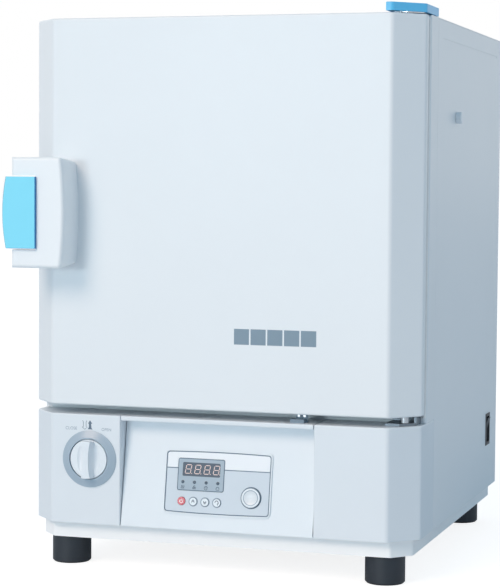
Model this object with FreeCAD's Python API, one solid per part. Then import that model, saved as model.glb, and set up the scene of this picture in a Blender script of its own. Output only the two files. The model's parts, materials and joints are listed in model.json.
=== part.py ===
"""Bench-top forced-air drying oven, written as separate solid pieces.

All sizes are in millimetres. While the pieces are made, x is 0 at the middle of the door, y is 0
at the door's front face and grows towards the back, and z is 0 at the floor. At the end every
piece is moved by the same amount, so that the origin is the middle of the oven's footprint.
"""
import FreeCAD, Part
import math
import os

from FreeCAD import Matrix, Placement, Rotation, Vector

# Overall sizes
BODY_WIDTH = 490.0
BODY_DEPTH = 510.0
BODY_TOP = 671.0
HALF = BODY_WIDTH / 2

# Vertical layout, from the floor up
FOOT_HEIGHT = 34.5
BASE_HEIGHT = 20.0
HOUSING_HEIGHT = 134.5
DOOR_GAP = 11.0
DOOR_TOP_GAP = 1.0
BASE_TOP = FOOT_HEIGHT + BASE_HEIGHT
HOUSING_TOP = BASE_TOP + HOUSING_HEIGHT
DOOR_BOTTOM = HOUSING_TOP + DOOR_GAP
DOOR_TOP = BODY_TOP - DOOR_TOP_GAP

# Chamfered front corners, shared by the door and the lower housing
CHAMFER_X = 33.0
CHAMFER_Y = 34.5
CORNER_RADIUS = 7.0

# Sheet and wall thicknesses
PANEL_WALL = 1.2
FRAME_WALL = 1.5
MOULDED_WALL = 2.5
CHAMBER_WALL = 1.0
BASE_WALL = 2.0

# Clearances
JOINT_GAP = 0.3
SEAM = 0.2
RUNNING = 0.05

# Front frame behind the door
FRAME_FRONT = 57.5
SEAM_LINE = 99.4
FRAME_EDGE_RADIUS = 4.0

# Base tray and feet
BASE_SIDE_INSET = 9.4
BASE_FRONT = 12.0
BASE_REAR_INSET = 1.0
BASE_CHAMFER_X = 22.3
BASE_CHAMFER_Y = 24.1
BASE_SLOT_LENGTH = 90.0
BASE_SLOT_WIDTH = 5.0
BASE_SLOT_PITCH = 16.0
BASE_SLOTS = 6
FOOT_RADIUS = 24.0
FOOT_SIDE_IN = 44.0
FOOT_FRONT = 39.5
FOOT_REAR_IN = 25.0
FOOT_EDGE = 2.0
FOOT_POCKET_RADIUS = 10.0
FOOT_POCKET_DEPTH = 20.0
FOOT_BOLT_RADIUS = 4.0
FOOT_BOLT_HEAD_RADIUS = 7.5
FOOT_BOLT_HEAD = 5.0
FOOT_NUT_ACROSS = 13.0
FOOT_NUT_HEIGHT = 6.5

# Chamber, placed by the room that the cabinet keeps round it
CHAMBER_SIDE_WALL = 60.0
CHAMBER_TOP_WALL = 61.0
CHAMBER_REAR_ROOM = 106.0
CHAMBER_FLOOR_ROOM = 60.0
CHAMBER_FLANGE = 20.0
DECK_ABOVE_HOUSING = 11.0
DECK_FLANGE = 18.0
WOOL_SIDE_GAP = 0.8
WOOL_TOP_GAP = 8.8
REAR_WOOL = 40.0

# Air baffle, fan, heater and probe at the back of the chamber
BAFFLE_GAP = 34.0
BAFFLE_HOLE_RADIUS = 4.0
BAFFLE_RING_PITCH = 14.0
BAFFLE_RINGS = 3
BAFFLE_SLOT_LENGTH = 22.0
BAFFLE_SLOT_WIDTH = 6.0
BAFFLE_SLOT_ROWS = 7
FAN_RADIUS = 62.0
FAN_WIDTH = 20.0
FAN_BLADES = 12
FAN_WALL = 1.5
FAN_HUB_RADIUS = 11.0
FAN_SHAFT_RADIUS = 4.0
FAN_FRONT_GAP = 6.0
SHAFT_HOLE_RADIUS = 7.0
MOTOR_RADIUS = 40.0
MOTOR_LENGTH = 40.0
MOTOR_PLATE = 130.0
MOTOR_PLATE_WALL = 2.0
MOTOR_POST_RADIUS = 5.0
MOTOR_POST_IN = 12.0
MOTOR_STANDOFF = 6.0
MOTOR_SHAFT_DEPTH = 30.0
HEATER_RING_RADIUS = 86.0
HEATER_TUBE_RADIUS = 4.25
HEATER_SWEEP = 320.0
HEATER_TAIL = 12.0
PROBE_RADIUS = 2.5
PROBE_X = 110.0
PROBE_UP = 130.0
PROBE_REACH = 25.0
PROBE_HEAD_RADIUS = 6.0
PROBE_HEAD = 14.0

# Exhaust pipe at the back
PIPE_RADIUS = 16.0
PIPE_WALL = 1.5
PIPE_X = -110.0
PIPE_UP = 130.0
PIPE_STANDOUT = 30.0
PIPE_FLANGE_RADIUS = 25.0
PIPE_FLANGE = 1.5

# Shelves and their supports
SHELF_SIDE_GAP = 8.0
SHELF_FRONT_GAP = 45.0
SHELF_REAR_GAP = 10.0
SHELF_FRAME_RADIUS = 2.5
SHELF_WIRE_RADIUS = 1.5
SHELF_WIRE_PITCH = 19.0
SHELF_HEIGHTS = (85.0, 215.0)
SHELF_TRAVEL = 36.0
UPRIGHT_DEPTH = 5.0
UPRIGHT_WIDTH = 14.0
UPRIGHT_END_GAP = 25.0
UPRIGHT_FRONT_IN = 75.0
UPRIGHT_REAR_IN = 75.0
CLIP_REACH = 14.0
CLIP_THICKNESS = 2.5

# Door
DOOR_DEPTH = 44.5
DOOR_EDGE_RADIUS = 2.5
PLUG_MARGIN = 13.0
PLUG_DEPTH = 21.5
GASKET_MARGIN = 5.0
GASKET_WIDTH = 12.0
GASKET_CORNER = 18.0

# Hinge
PIVOT_SIDE_IN = 20.0
PIVOT_Y = 30.0
PIN_RADIUS = 4.0
BUSH_RADIUS = 7.0
COLLAR_RADIUS = 5.35
BUSH_LENGTH = 17.0
BRACKET_WALL = 3.0
BRACKET_MARGIN = 3.5
BRACKET_FRONT = 18.0
CAP_BOTTOM_GAP = 2.0
CAP_HEIGHT = 10.0
CAP_WIDTH = 41.0
CAP_REAR = 98.0
CAP_WALL = 2.0
CAP_EDGE = 1.0

# Handle housing, latch lever and catch arm
HANDLE_HEIGHT = 133.8
HANDLE_DEPTH = 47.0
HANDLE_RIGHT_IN = 68.0
HANDLE_BULGE = 4.8
HANDLE_CORNER_RADIUS = 5.0
HANDLE_FOOT_IN = 34.0
HANDLE_WING = 19.0
HANDLE_TAPER = 4.5
HANDLE_EDGE_RADIUS = 4.0
LEVER_HEIGHT = 86.4
LEVER_GAP = 1.6
LEVER_RIGHT_IN = 33.0
LEVER_OVERHANG = 7.0
LEVER_BULGE = 4.5
LEVER_COVER = 4.0
LEVER_COVER_IN = 2.0
LEVER_BACK = 16.0
LEVER_PIN_IN = 40.0
LEVER_PIN_Y = -16.0
LEVER_PIN_RADIUS = 2.0
LEVER_HUB_RADIUS = 4.5
LEVER_SKIN_GAP = 2.0
LEVER_NECK_IN = 26.0
LEVER_NECK = 11.0
ARM_HEIGHT = 20.0
ARM_WALL = 4.0
ARM_REACH = 21.0
ARM_JOG_Y = 39.0
MAGNET_WIDTH = 14.0
ARM_SWING = 13.0
ARM_SIDE_ROOM = 2.0
ARM_POCKET_SKIN = 0.8

# Lower housing: recessed console between two cheeks
CONSOLE_LEFT = -121.7
CONSOLE_RIGHT = 122.6
SLOPE_FOOT = 0.5
SLOPE_DEPTH = 21.0
LIP_HEIGHT = 6.0
LIP_DROP = 2.5
HOUSING_EDGE_RADIUS = 1.5
HOUSING_FIT = 0.2
CONSOLE_SEAM = 1.0
CONSOLE_TOP_FRONT = 2.0

# Control panel, measured on the slope: x across, h up from the slope's foot
PANEL_X0 = -65.5
PANEL_X1 = 66.8
PANEL_H0 = 21.3
PANEL_H1 = 93.9
PANEL_BULGE = 1.2
PANEL_CORNER = 4.0
PANEL_PLATE = 1.2
PANEL_RIM_LEFT = 3.2
PANEL_RIM_RIGHT = 1.6
PANEL_RIM_TOP = 2.6
PANEL_RIM_BOTTOM = 2.0
PANEL_RIM_CORNER = 6.0
PANEL_RIM_HEIGHT = 1.8
PANEL_HOLE_IN = 6.0
WINDOW_X0 = -50.5
WINDOW_X1 = 8.7
WINDOW_H0 = 47.2
WINDOW_H1 = 86.1
WINDOW_CORNER = 2.5
WINDOW_PLATE = 1.4
DIGITS_WIDTH = 50.3
DIGITS_HEIGHT = 19.0
DIGITS_DEPTH = 8.0
DIGITS_H = 73.0
LAMP_H = 57.5
LAMP_RADIUS = 1.5
LAMP_LENGTH = 4.0
KEY_X0 = -43.9
KEY_PITCH = 15.0
KEY_H = 34.3
KEY_RADIUS = 4.95
KEY_PROUD = 1.0
KEY_TRAVEL = 0.8
KEY_FLANGE = 0.9
KEY_FLANGE_WALL = 1.0
KEY_STEM_RADIUS = 1.8
START_X = 43.8
START_H = 42.5
START_RADIUS = 11.8
START_DISH_RADIUS = 8.8
START_DISH_DEPTH = 1.0
START_PROUD = 2.4
START_TRAVEL = 1.2
BOARD_DEPTH = 13.0
BOARD_WALL = 1.6
BOARD_MARGIN = 3.0
BOARD_POST_RADIUS = 3.0
SWITCH_SIZE = 6.0

# Vent knob, its ring, shaft and shutter
VENT_BESIDE_CONSOLE = 40.0
VENT_Z = 134.4
RING_RADIUS = 34.9
RING_INNER_RADIUS = 25.1
RING_PROUD = 4.0
RING_CREST = 1.2
KNOB_RADIUS = 23.9
KNOB_BACK_GAP = 0.6
KNOB_DISC = 3.2
KNOB_EDGE = 1.0
KNOB_GRIP = 9.9
KNOB_WAIST = 3.3
KNOB_BAR_HALF = 7.2
KNOB_SCOOP_ACROSS = 7.2
KNOB_SCOOP_DEEP = 12.0
KNOB_SCOOP_TALL = 28.5
KNOB_HUB_RADIUS = 6.0
KNOB_HUB_LENGTH = 8.0
VENT_SHAFT_RADIUS = 3.0
SHUTTER_RADIUS = 21.0
SHUTTER_WALL = 1.5
SHUTTER_HOLE_RADIUS = 6.5
SHUTTER_HOLE_AT = 12.5
SHUTTER_HUB_RADIUS = 5.5
SHUTTER_TURN = 45.0
DUCT_HALF = 22.0
DUCT_DEPTH = 23.0
DUCT_WALL = 1.0
DUCT_BELOW = 26.0

# Right side: mains breaker and probe port
BREAKER_REAR_IN = 63.0
BREAKER_Z = 136.3
BREAKER_WIDTH = 26.0
BREAKER_HEIGHT = 43.4
BREAKER_BEZEL = 1.0
BREAKER_DEPTH = 36.0
BREAKER_FRAME = 4.0
ROCKER_DEPTH = 9.0
ROCKER_SET_BACK = 1.5
ROCKER_TILT = 7.0
ROCKER_PIVOT_IN = 3.0
PORT_Y = 209.5
PORT_DROP = 115.7
PORT_CAP_RADIUS = 7.2
PORT_CAP_HEIGHT = 7.0
PORT_SLEEVE_RADIUS = 6.0
PORT_BORE_RADIUS = 4.5
PORT_STEM = 24.0

# Side crease and rear details
CREASE_DROP = 23.9
CREASE_Y0 = 126.0
CREASE_REAR_IN = 30.0
CREASE_DEPTH = 0.5
CREASE_HEIGHT = 2.4
PANEL_FLANGE = 14.0
GRILLE_SLOTS = 9
GRILLE_SLOT_LENGTH = 80.0
GRILLE_SLOT_WIDTH = 4.0
GRILLE_PITCH = 9.0
LOUVRE_Z = 120.0
LOUVRE_X = -20.0
INLET_X = 175.0
INLET_Z = 112.0
INLET_WIDTH = 50.0
INLET_HEIGHT = 31.0
INLET_BEZEL = 3.0
INLET_BODY_WIDTH = 33.0
INLET_BODY_HEIGHT = 26.0
INLET_DEPTH = 28.0
INLET_MOUTH_WIDTH = 24.6
INLET_MOUTH_HEIGHT = 17.2
INLET_MOUTH_DEPTH = 20.0
INLET_PIN_LENGTH = 15.0
INLET_PIN_WIDTH = 2.0
INLET_PIN_HEIGHT = 4.0
INLET_PIN_PITCH = 7.0
SCREW_HEAD_RADIUS = 3.8
SCREW_HEAD = 2.2
SCREW_IN = 9.0

# Electrical parts on the bottom pan
PAN_WALL = 1.5
RELAY_X = 90.0
RELAY_REAR_IN = 130.0
RELAY_WIDTH = 46.0
RELAY_DEPTH = 58.0
RELAY_HEIGHT = 24.0
RELAY_SINK = 22.0
SINK_FINS = 7
SINK_FIN_WALL = 2.2

# Door buffer on the console's top, with a screwed tab behind it
BUFFER_X = 99.5
BUFFER_WIDTH = 17.0
BUFFER_FRONT = 8.0
BUFFER_DEPTH = 12.0
BUFFER_HEIGHT = 4.5
BUFFER_TAB_SHIFT = 3.5
BUFFER_TAB_WIDTH = 14.0
BUFFER_TAB_WALL = 3.0
BUFFER_TAB_TOP_GAP = 1.0
BUFFER_SCREW_PITCH = 7.0
BUFFER_SCREW_RADIUS = 1.6
BUFFER_SCREW_HEAD = 1.0
BUFFER_SCREW_DROP = 2.0

X_AXIS = Vector(1, 0, 0)
Y_AXIS = Vector(0, 1, 0)
Z_AXIS = Vector(0, 0, 1)

# Places that several pieces share
BACK = BODY_DEPTH
DECK_Z = HOUSING_TOP + DECK_ABOVE_HOUSING
DECK_TOP = DECK_Z + FRAME_WALL
CHAMBER_WIDTH = BODY_WIDTH - 2 * CHAMBER_SIDE_WALL
CHAMBER_FLOOR = DECK_Z + CHAMBER_FLOOR_ROOM
CHAMBER_HEIGHT = BODY_TOP - CHAMBER_TOP_WALL - CHAMBER_FLOOR
CHAMBER_DEPTH = BODY_DEPTH - CHAMBER_REAR_ROOM - FRAME_FRONT - FRAME_WALL
SIDE_WOOL = CHAMBER_SIDE_WALL - CHAMBER_WALL - PANEL_WALL - PANEL_FLANGE - WOOL_SIDE_GAP
TOP_WOOL = CHAMBER_TOP_WALL - CHAMBER_WALL - PANEL_WALL - WOOL_TOP_GAP
CHAMBER_HALF = CHAMBER_WIDTH / 2
CHAMBER_TOP = CHAMBER_FLOOR + CHAMBER_HEIGHT
CHAMBER_MID_Z = CHAMBER_FLOOR + CHAMBER_HEIGHT / 2
CHAMBER_FRONT = FRAME_FRONT + FRAME_WALL
CHAMBER_REAR = CHAMBER_FRONT + CHAMBER_DEPTH
WOOL_FRONT = CHAMBER_FRONT + CHAMBER_WALL
WOOL_REAR = CHAMBER_REAR + CHAMBER_WALL + REAR_WOOL
BAFFLE_FRONT = CHAMBER_REAR - BAFFLE_GAP - CHAMBER_WALL
SHELF_WIDTH = CHAMBER_WIDTH - 2 * SHELF_SIDE_GAP
SHELF_DEPTH = CHAMBER_DEPTH - BAFFLE_GAP - CHAMBER_WALL - SHELF_REAR_GAP - SHELF_FRONT_GAP
UPRIGHT_LENGTH = CHAMBER_HEIGHT - 2 * UPRIGHT_END_GAP
MOTOR_PLATE_FRONT = WOOL_REAR + MOTOR_STANDOFF
MOTOR_FRONT = MOTOR_PLATE_FRONT + MOTOR_PLATE_WALL
PIVOT_X = HALF - PIVOT_SIDE_IN
PAN_TOP = BASE_TOP + PAN_WALL
INNER_HALF = HALF - PANEL_WALL
COVER_BOTTOM = BODY_TOP - PANEL_WALL
REAR_FACE = BACK - PANEL_WALL
LIP_BOTTOM = HOUSING_TOP - LIP_HEIGHT
SLOPE_TOP = LIP_BOTTOM - LIP_DROP
SLOPE_ANGLE = math.degrees(math.atan((SLOPE_DEPTH - SLOPE_FOOT) / (SLOPE_TOP - BASE_TOP)))
DUCT_FRONT = BAFFLE_FRONT + 6.0
SHUTTER_FRONT = DUCT_FRONT - JOINT_GAP - SHUTTER_WALL
VENT_X = CONSOLE_LEFT - VENT_BESIDE_CONSOLE
BREAKER_Y = BACK - BREAKER_REAR_IN
RELAY_Y = BACK - RELAY_REAR_IN
PORT_Z = BODY_TOP - PORT_DROP
CREASE_Z = BODY_TOP - CREASE_DROP
CREASE_Y1 = BACK - CREASE_REAR_IN
HANDLE_CENTRE_Z = (DOOR_BOTTOM + DOOR_TOP) / 2
HANDLE_LOW = HANDLE_CENTRE_Z - HANDLE_HEIGHT / 2
HANDLE_HIGH = HANDLE_CENTRE_Z + HANDLE_HEIGHT / 2
LEVER_LOW = HANDLE_CENTRE_Z - LEVER_HEIGHT / 2
LEVER_HIGH = HANDLE_CENTRE_Z + LEVER_HEIGHT / 2
LEVER_PIN_X = -HALF + LEVER_PIN_IN
LEVER_FACE = -HANDLE_DEPTH - JOINT_GAP
MAGNET_FACE = FRAME_FRONT - 0.5
CAP_BOTTOM = DOOR_TOP + CAP_BOTTOM_GAP
CAP_TOP = CAP_BOTTOM + CAP_HEIGHT
LOW_BRACKET_BOTTOM = HOUSING_TOP + SEAM
LOW_BRACKET_TOP = LOW_BRACKET_BOTTOM + BRACKET_WALL


def block(x0, x1, y0, y1, z0, z1):
    """A box between two corners."""
    return Part.makeBox(x1 - x0, y1 - y0, z1 - z0, Vector(x0, y0, z0))


def rod(x, y, z, axis, radius, length):
    """A cylinder that starts at a point and runs along an axis."""
    return Part.makeCylinder(radius, length, Vector(x, y, z), axis)


def flat_face(points):
    """A flat face inside a closed polygon."""
    corners = [Vector(*point) for point in points]
    return Part.Face(Part.makePolygon(corners + [corners[0]]))


def upright(outline, z0, z1):
    """A prism that stands on an outline of (x, y) points."""
    return flat_face([(x, y, z0) for x, y in outline]).extrude(Vector(0, 0, z1 - z0))


def crosswise(outline, x0, x1):
    """A prism along x on an outline of (y, z) points."""
    return flat_face([(x0, y, z) for y, z in outline]).extrude(Vector(x1 - x0, 0, 0))


def fused(first, *others):
    """One solid made of solids that share volume or faces."""
    return first.fuse(list(others)).removeSplitter()


def chamfer_inset(along_x, along_y, inset):
    """The two legs of a corner chamfer after its outline has moved inwards."""
    tilt = math.sqrt(1 / along_x ** 2 + 1 / along_y ** 2)
    leg_x = along_x * (1 + inset * tilt - inset / along_y) - inset
    leg_y = along_y * (1 + inset * tilt - inset / along_x) - inset
    return leg_x, leg_y


def edges_where(shape, test):
    """The straight or curved edges whose bounding box passes a test."""
    return [edge for edge in shape.Edges if test(edge.BoundBox)]


def is_upright(bounds):
    """True for the box around an edge that runs along z."""
    return bounds.XLength < 0.01 and bounds.YLength < 0.01 and bounds.ZLength > 1.0


def chamfered_block(half, front, back, legs, inset, z0, z1, radius):
    """A block with chamfered front corners, moved inwards by inset, its four front edges rounded."""
    leg_x, leg_y = chamfer_inset(legs[0], legs[1], inset)
    side = half - inset
    y0 = front + inset
    outline = [(-side, back), (-side, y0 + leg_y), (-side + leg_x, y0),
               (side - leg_x, y0), (side, y0 + leg_y), (side, back)]
    solid = upright(outline, z0, z1)
    if radius <= 0:
        return solid
    near = back - 0.01
    edges = edges_where(solid, lambda b: is_upright(b) and b.YMax < near)
    return solid.makeFillet(radius, edges)


def rounded_plate(x0, x1, y0, y1, z0, z1, radius, bulge=0.0):
    """A plate with rounded corners, whose long edges may arch outwards."""
    mid = (x0 + x1) / 2
    low = [Vector(x0, y0, z0), Vector(mid, y0 - bulge, z0), Vector(x1, y0, z0)]
    high = [Vector(x1, y1, z0), Vector(mid, y1 + bulge, z0), Vector(x0, y1, z0)]
    if bulge > 0:
        edges = [Part.Arc(*low).toShape(), Part.makeLine(low[2], high[0]),
                 Part.Arc(*high).toShape(), Part.makeLine(high[2], low[0])]
    else:
        edges = [Part.makeLine(low[0], low[2]), Part.makeLine(low[2], high[0]),
                 Part.makeLine(high[0], high[2]), Part.makeLine(high[2], low[0])]
    solid = Part.Face(Part.Wire(edges)).extrude(Vector(0, 0, z1 - z0))
    return solid.makeFillet(radius, edges_where(solid, is_upright))


def hexagon(x, y, z, across, height):
    """A hexagonal nut blank, given its width across flats."""
    reach = across / math.sqrt(3)
    angles = [math.radians(60 * k) for k in range(6)]
    outline = [(x + reach * math.cos(a), y + reach * math.sin(a)) for a in angles]
    return upright(outline, z, z + height)


def ellipsoid(x, y, z, reach_x, reach_y, reach_z):
    """A solid ellipsoid, given its middle and how far it reaches along each axis."""
    ball = Part.makeSphere(1.0)
    grown = Matrix(reach_x, 0, 0, x, 0, reach_y, 0, y, 0, 0, reach_z, z, 0, 0, 0, 1)
    return ball.transformGeometry(grown)


def on_slope(shape):
    """Moves a shape from the slope's own axes (x across, y up the slope, z outwards) to its place."""
    turn = Rotation(X_AXIS, 90 - SLOPE_ANGLE)
    shape.Placement = Placement(Vector(0, SLOPE_FOOT, BASE_TOP), turn).multiply(shape.Placement)
    return shape


def foot_places():
    """The four feet's centres."""
    side = HALF - FOOT_SIDE_IN
    return [(x, y) for x in (-side, side) for y in (FOOT_FRONT, BACK - FOOT_REAR_IN)]


def feet():
    """Four rubber feet, each with a pocket below for its bolt head."""
    made = []
    for x, y in foot_places():
        foot = rod(x, y, 0, Z_AXIS, FOOT_RADIUS, FOOT_HEIGHT)
        rim = edges_where(foot, lambda b: b.ZMax < 0.01 and b.XLength > FOOT_RADIUS)
        foot = foot.makeChamfer(FOOT_EDGE, rim)
        foot = foot.cut(rod(x, y, 0, Z_AXIS, FOOT_POCKET_RADIUS, FOOT_POCKET_DEPTH))
        foot = foot.cut(rod(x, y, 0, Z_AXIS, FOOT_BOLT_RADIUS, FOOT_HEIGHT))
        made.append(foot)
    return Part.makeCompound(made)


def foot_bolts():
    """A bolt through each foot, with its nut inside the base tray."""
    made = []
    reach = FOOT_HEIGHT - FOOT_POCKET_DEPTH + BASE_WALL + FOOT_NUT_HEIGHT + 1.0
    nut_z = FOOT_HEIGHT + BASE_WALL
    for x, y in foot_places():
        head_z = FOOT_POCKET_DEPTH - FOOT_BOLT_HEAD
        head = rod(x, y, head_z, Z_AXIS, FOOT_BOLT_HEAD_RADIUS, FOOT_BOLT_HEAD)
        shank = rod(x, y, head_z, Z_AXIS, FOOT_BOLT_RADIUS, FOOT_BOLT_HEAD + reach)
        nut = hexagon(x, y, nut_z, FOOT_NUT_ACROSS, FOOT_NUT_HEIGHT)
        made.append(fused(head, shank, nut))
    return Part.makeCompound(made)


def base_tray():
    """The shallow tray under the cabinet, set in from its sides, with air slots in its floor."""
    legs = (BASE_CHAMFER_X, BASE_CHAMFER_Y)
    half = HALF - BASE_SIDE_INSET
    back = BACK - BASE_REAR_INSET
    outer = chamfered_block(half, BASE_FRONT, back, legs, 0, FOOT_HEIGHT, BASE_TOP, 5.0)
    inner = chamfered_block(half, BASE_FRONT, back - BASE_WALL, legs, BASE_WALL,
                            FOOT_HEIGHT + BASE_WALL, BASE_TOP + 1, 3.0)
    tray = outer.cut(inner)
    for x, y in foot_places():
        tray = tray.cut(rod(x, y, FOOT_HEIGHT - 1, Z_AXIS, FOOT_BOLT_RADIUS, BASE_WALL + 2))
    middle = (BASE_FRONT + back) / 2
    for k in range(BASE_SLOTS):
        y = middle + (k - (BASE_SLOTS - 1) / 2) * BASE_SLOT_PITCH
        tray = tray.cut(block(-BASE_SLOT_LENGTH / 2, BASE_SLOT_LENGTH / 2, y - BASE_SLOT_WIDTH / 2,
                              y + BASE_SLOT_WIDTH / 2, FOOT_HEIGHT - 1, FOOT_HEIGHT + BASE_WALL + 1))
    return tray


def bottom_pan():
    """The floor of the electrical compartment, inside the cheeks and the side panels."""
    legs = (CHAMFER_X, CHAMFER_Y)
    inset = MOULDED_WALL + HOUSING_FIT
    pan = chamfered_block(HALF, 0, REAR_FACE - SEAM, legs, inset, BASE_TOP, PAN_TOP,
                          CORNER_RADIUS - inset)
    middle = (BASE_FRONT + BACK - BASE_REAR_INSET) / 2
    for k in range(BASE_SLOTS):
        y = middle + (k - (BASE_SLOTS - 1) / 2) * BASE_SLOT_PITCH
        pan = pan.cut(block(-BASE_SLOT_LENGTH / 2, BASE_SLOT_LENGTH / 2, y - BASE_SLOT_WIDTH / 2,
                            y + BASE_SLOT_WIDTH / 2, BASE_TOP - 1, PAN_TOP + 1))
    return pan


def pan_room():
    """The room that the front housing's pieces leave for the bottom pan."""
    legs = (CHAMFER_X, CHAMFER_Y)
    return chamfered_block(HALF, 0, BACK, legs, MOULDED_WALL, BASE_TOP - 1, PAN_TOP + SEAM,
                           CORNER_RADIUS - MOULDED_WALL)


def housing_shell():
    """The whole lower front housing, before the console's bay divides it into two cheeks."""
    legs = (CHAMFER_X, CHAMFER_Y)
    back = SEAM_LINE - SEAM
    outer = chamfered_block(HALF, 0, back, legs, 0, BASE_TOP, HOUSING_TOP, CORNER_RADIUS)
    rim = edges_where(outer, lambda b: b.ZMin > HOUSING_TOP - 0.01 and b.YMin < back - 0.01)
    return outer.makeFillet(HOUSING_EDGE_RADIUS, rim)


def cheek(x_side, x_bay):
    """One cheek of the lower housing: front wall, chamfer, side, top and the wall beside the bay."""
    legs = (CHAMFER_X, CHAMFER_Y)
    back = SEAM_LINE - SEAM
    low, high = sorted((x_side, x_bay))
    reach = 10.0
    outer_low = low - reach if x_side < 0 else low
    outer_high = high + reach if x_side > 0 else high
    bay = block(outer_low, outer_high, -1, back + 1, BASE_TOP - 1, HOUSING_TOP + 1)
    wall = MOULDED_WALL
    hollow = chamfered_block(HALF, 0, back + 1, legs, wall, BASE_TOP - 1, HOUSING_TOP - wall,
                             CORNER_RADIUS - wall)
    inner_low = outer_low if x_side < 0 else low + wall
    inner_high = high - wall if x_side < 0 else outer_high
    hollow = hollow.common(block(inner_low, inner_high, -1, back + 2, BASE_TOP - 1, HOUSING_TOP))
    solid = housing_shell().common(bay).cut(hollow).cut(pan_room())
    corner = x_bay
    lip = edges_where(solid, lambda b: is_upright(b) and abs(b.XMin - corner) < 0.01 and b.YMax < 0.01)
    return solid.makeFillet(HOUSING_EDGE_RADIUS, lip)


def left_fascia():
    """The cheek that carries the vent knob."""
    solid = cheek(-HALF, CONSOLE_LEFT)
    hub = rod(VENT_X, -1, VENT_Z, Y_AXIS, KNOB_HUB_RADIUS + RUNNING, MOULDED_WALL + 2)
    return solid.cut(hub)


def right_fascia():
    """The plain cheek on the right."""
    return cheek(HALF, CONSOLE_RIGHT)


def console_insert():
    """The moulded insert between the cheeks: a thin top lip over a sloping face with a raised rim."""
    x0 = CONSOLE_LEFT + CONSOLE_SEAM
    x1 = CONSOLE_RIGHT - CONSOLE_SEAM
    back = SEAM_LINE - SEAM
    wall = MOULDED_WALL
    profile = [(SLOPE_FOOT, BASE_TOP), (SLOPE_DEPTH, SLOPE_TOP), (SLOPE_DEPTH - 3.0, LIP_BOTTOM),
               (0, LIP_BOTTOM), (0, HOUSING_TOP), (back, HOUSING_TOP), (back, HOUSING_TOP - wall),
               (SLOPE_DEPTH + wall + 0.6, HOUSING_TOP - wall), (SLOPE_FOOT + wall + 0.6, BASE_TOP)]
    shell = crosswise(profile, x0, x1)
    lip = edges_where(shell, lambda b: b.XLength > 10 and b.YMax < 0.01 and b.ZMin > LIP_BOTTOM - 0.01)
    shell = shell.makeFillet(HOUSING_EDGE_RADIUS, lip)
    top = block(CONSOLE_LEFT + HOUSING_FIT, CONSOLE_RIGHT - HOUSING_FIT, FRAME_FRONT + CONSOLE_TOP_FRONT,
                back, HOUSING_TOP - wall, HOUSING_TOP)
    rim = rounded_plate(PANEL_X0 - PANEL_RIM_LEFT, PANEL_X1 + PANEL_RIM_RIGHT,
                        PANEL_H0 - PANEL_RIM_BOTTOM, PANEL_H1 + PANEL_RIM_TOP, -0.5, PANEL_RIM_HEIGHT,
                        PANEL_RIM_CORNER, PANEL_BULGE)
    shell = fused(shell, top, on_slope(rim))
    for x, h in board_posts():
        post = Part.makeCylinder(BOARD_POST_RADIUS, BOARD_DEPTH - 1, Vector(x, h, -BOARD_DEPTH))
        shell = shell.fuse(on_slope(post))
    seat = rounded_plate(PANEL_X0 - SEAM, PANEL_X1 + SEAM, PANEL_H0 - SEAM, PANEL_H1 + SEAM,
                         0, PANEL_RIM_HEIGHT + 1, PANEL_CORNER, PANEL_BULGE)
    shell = shell.cut(on_slope(seat))
    hole = block(PANEL_X0 + PANEL_HOLE_IN, PANEL_X1 - PANEL_HOLE_IN, PANEL_H0 + PANEL_HOLE_IN,
                 PANEL_H1 - PANEL_HOLE_IN, -2 * wall - 2, 1)
    return shell.cut(on_slope(hole)).cut(pan_room()).removeSplitter()


def board_posts():
    """Where the control board's four posts stand, in the slope's axes."""
    inset = BOARD_POST_RADIUS
    xs = (PANEL_X0 + inset, PANEL_X1 - inset)
    hs = (PANEL_H0 + inset, PANEL_H1 - inset)
    return [(x, h) for x in xs for h in hs]


def key_places():
    """The four small keys' centres in the slope's axes."""
    return [(KEY_X0 + k * KEY_PITCH, KEY_H) for k in range(4)]


def control_panel():
    """The flat panel plate with holes for the window, the four keys and the start button."""
    plate = rounded_plate(PANEL_X0, PANEL_X1, PANEL_H0, PANEL_H1, 0, PANEL_PLATE,
                          PANEL_CORNER, PANEL_BULGE)
    window = rounded_plate(WINDOW_X0 - SEAM, WINDOW_X1 + SEAM, WINDOW_H0 - SEAM, WINDOW_H1 + SEAM,
                           -1, PANEL_PLATE + 1, WINDOW_CORNER)
    plate = plate.cut(window)
    for x, h in key_places():
        plate = plate.cut(Part.makeCylinder(KEY_RADIUS + JOINT_GAP, PANEL_PLATE + 2, Vector(x, h, -1)))
    hole = Part.makeCylinder(START_RADIUS + JOINT_GAP, PANEL_PLATE + 2, Vector(START_X, START_H, -1))
    return on_slope(plate.cut(hole))


def display_window():
    """The tinted window over the digits and the indicator lamps."""
    return on_slope(rounded_plate(WINDOW_X0, WINDOW_X1, WINDOW_H0, WINDOW_H1, 0, WINDOW_PLATE,
                                  WINDOW_CORNER))


def display_module():
    """The four-digit display block, which hangs behind the window from the control board."""
    x0 = (WINDOW_X0 + WINDOW_X1 - DIGITS_WIDTH) / 2
    h0 = DIGITS_H - DIGITS_HEIGHT / 2
    module = block(x0, x0 + DIGITS_WIDTH, h0, h0 + DIGITS_HEIGHT, -SEAM - DIGITS_DEPTH, -SEAM)
    legs = []
    for k in range(6):
        for h in (h0 + 2, h0 + DIGITS_HEIGHT - 2):
            x = x0 + DIGITS_WIDTH * (k + 1) / 7
            depth = BOARD_DEPTH - SEAM - DIGITS_DEPTH
            legs.append(Part.makeCylinder(0.5, depth + 0.5, Vector(x, h, -BOARD_DEPTH)))
    return on_slope(fused(module, *legs))


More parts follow.
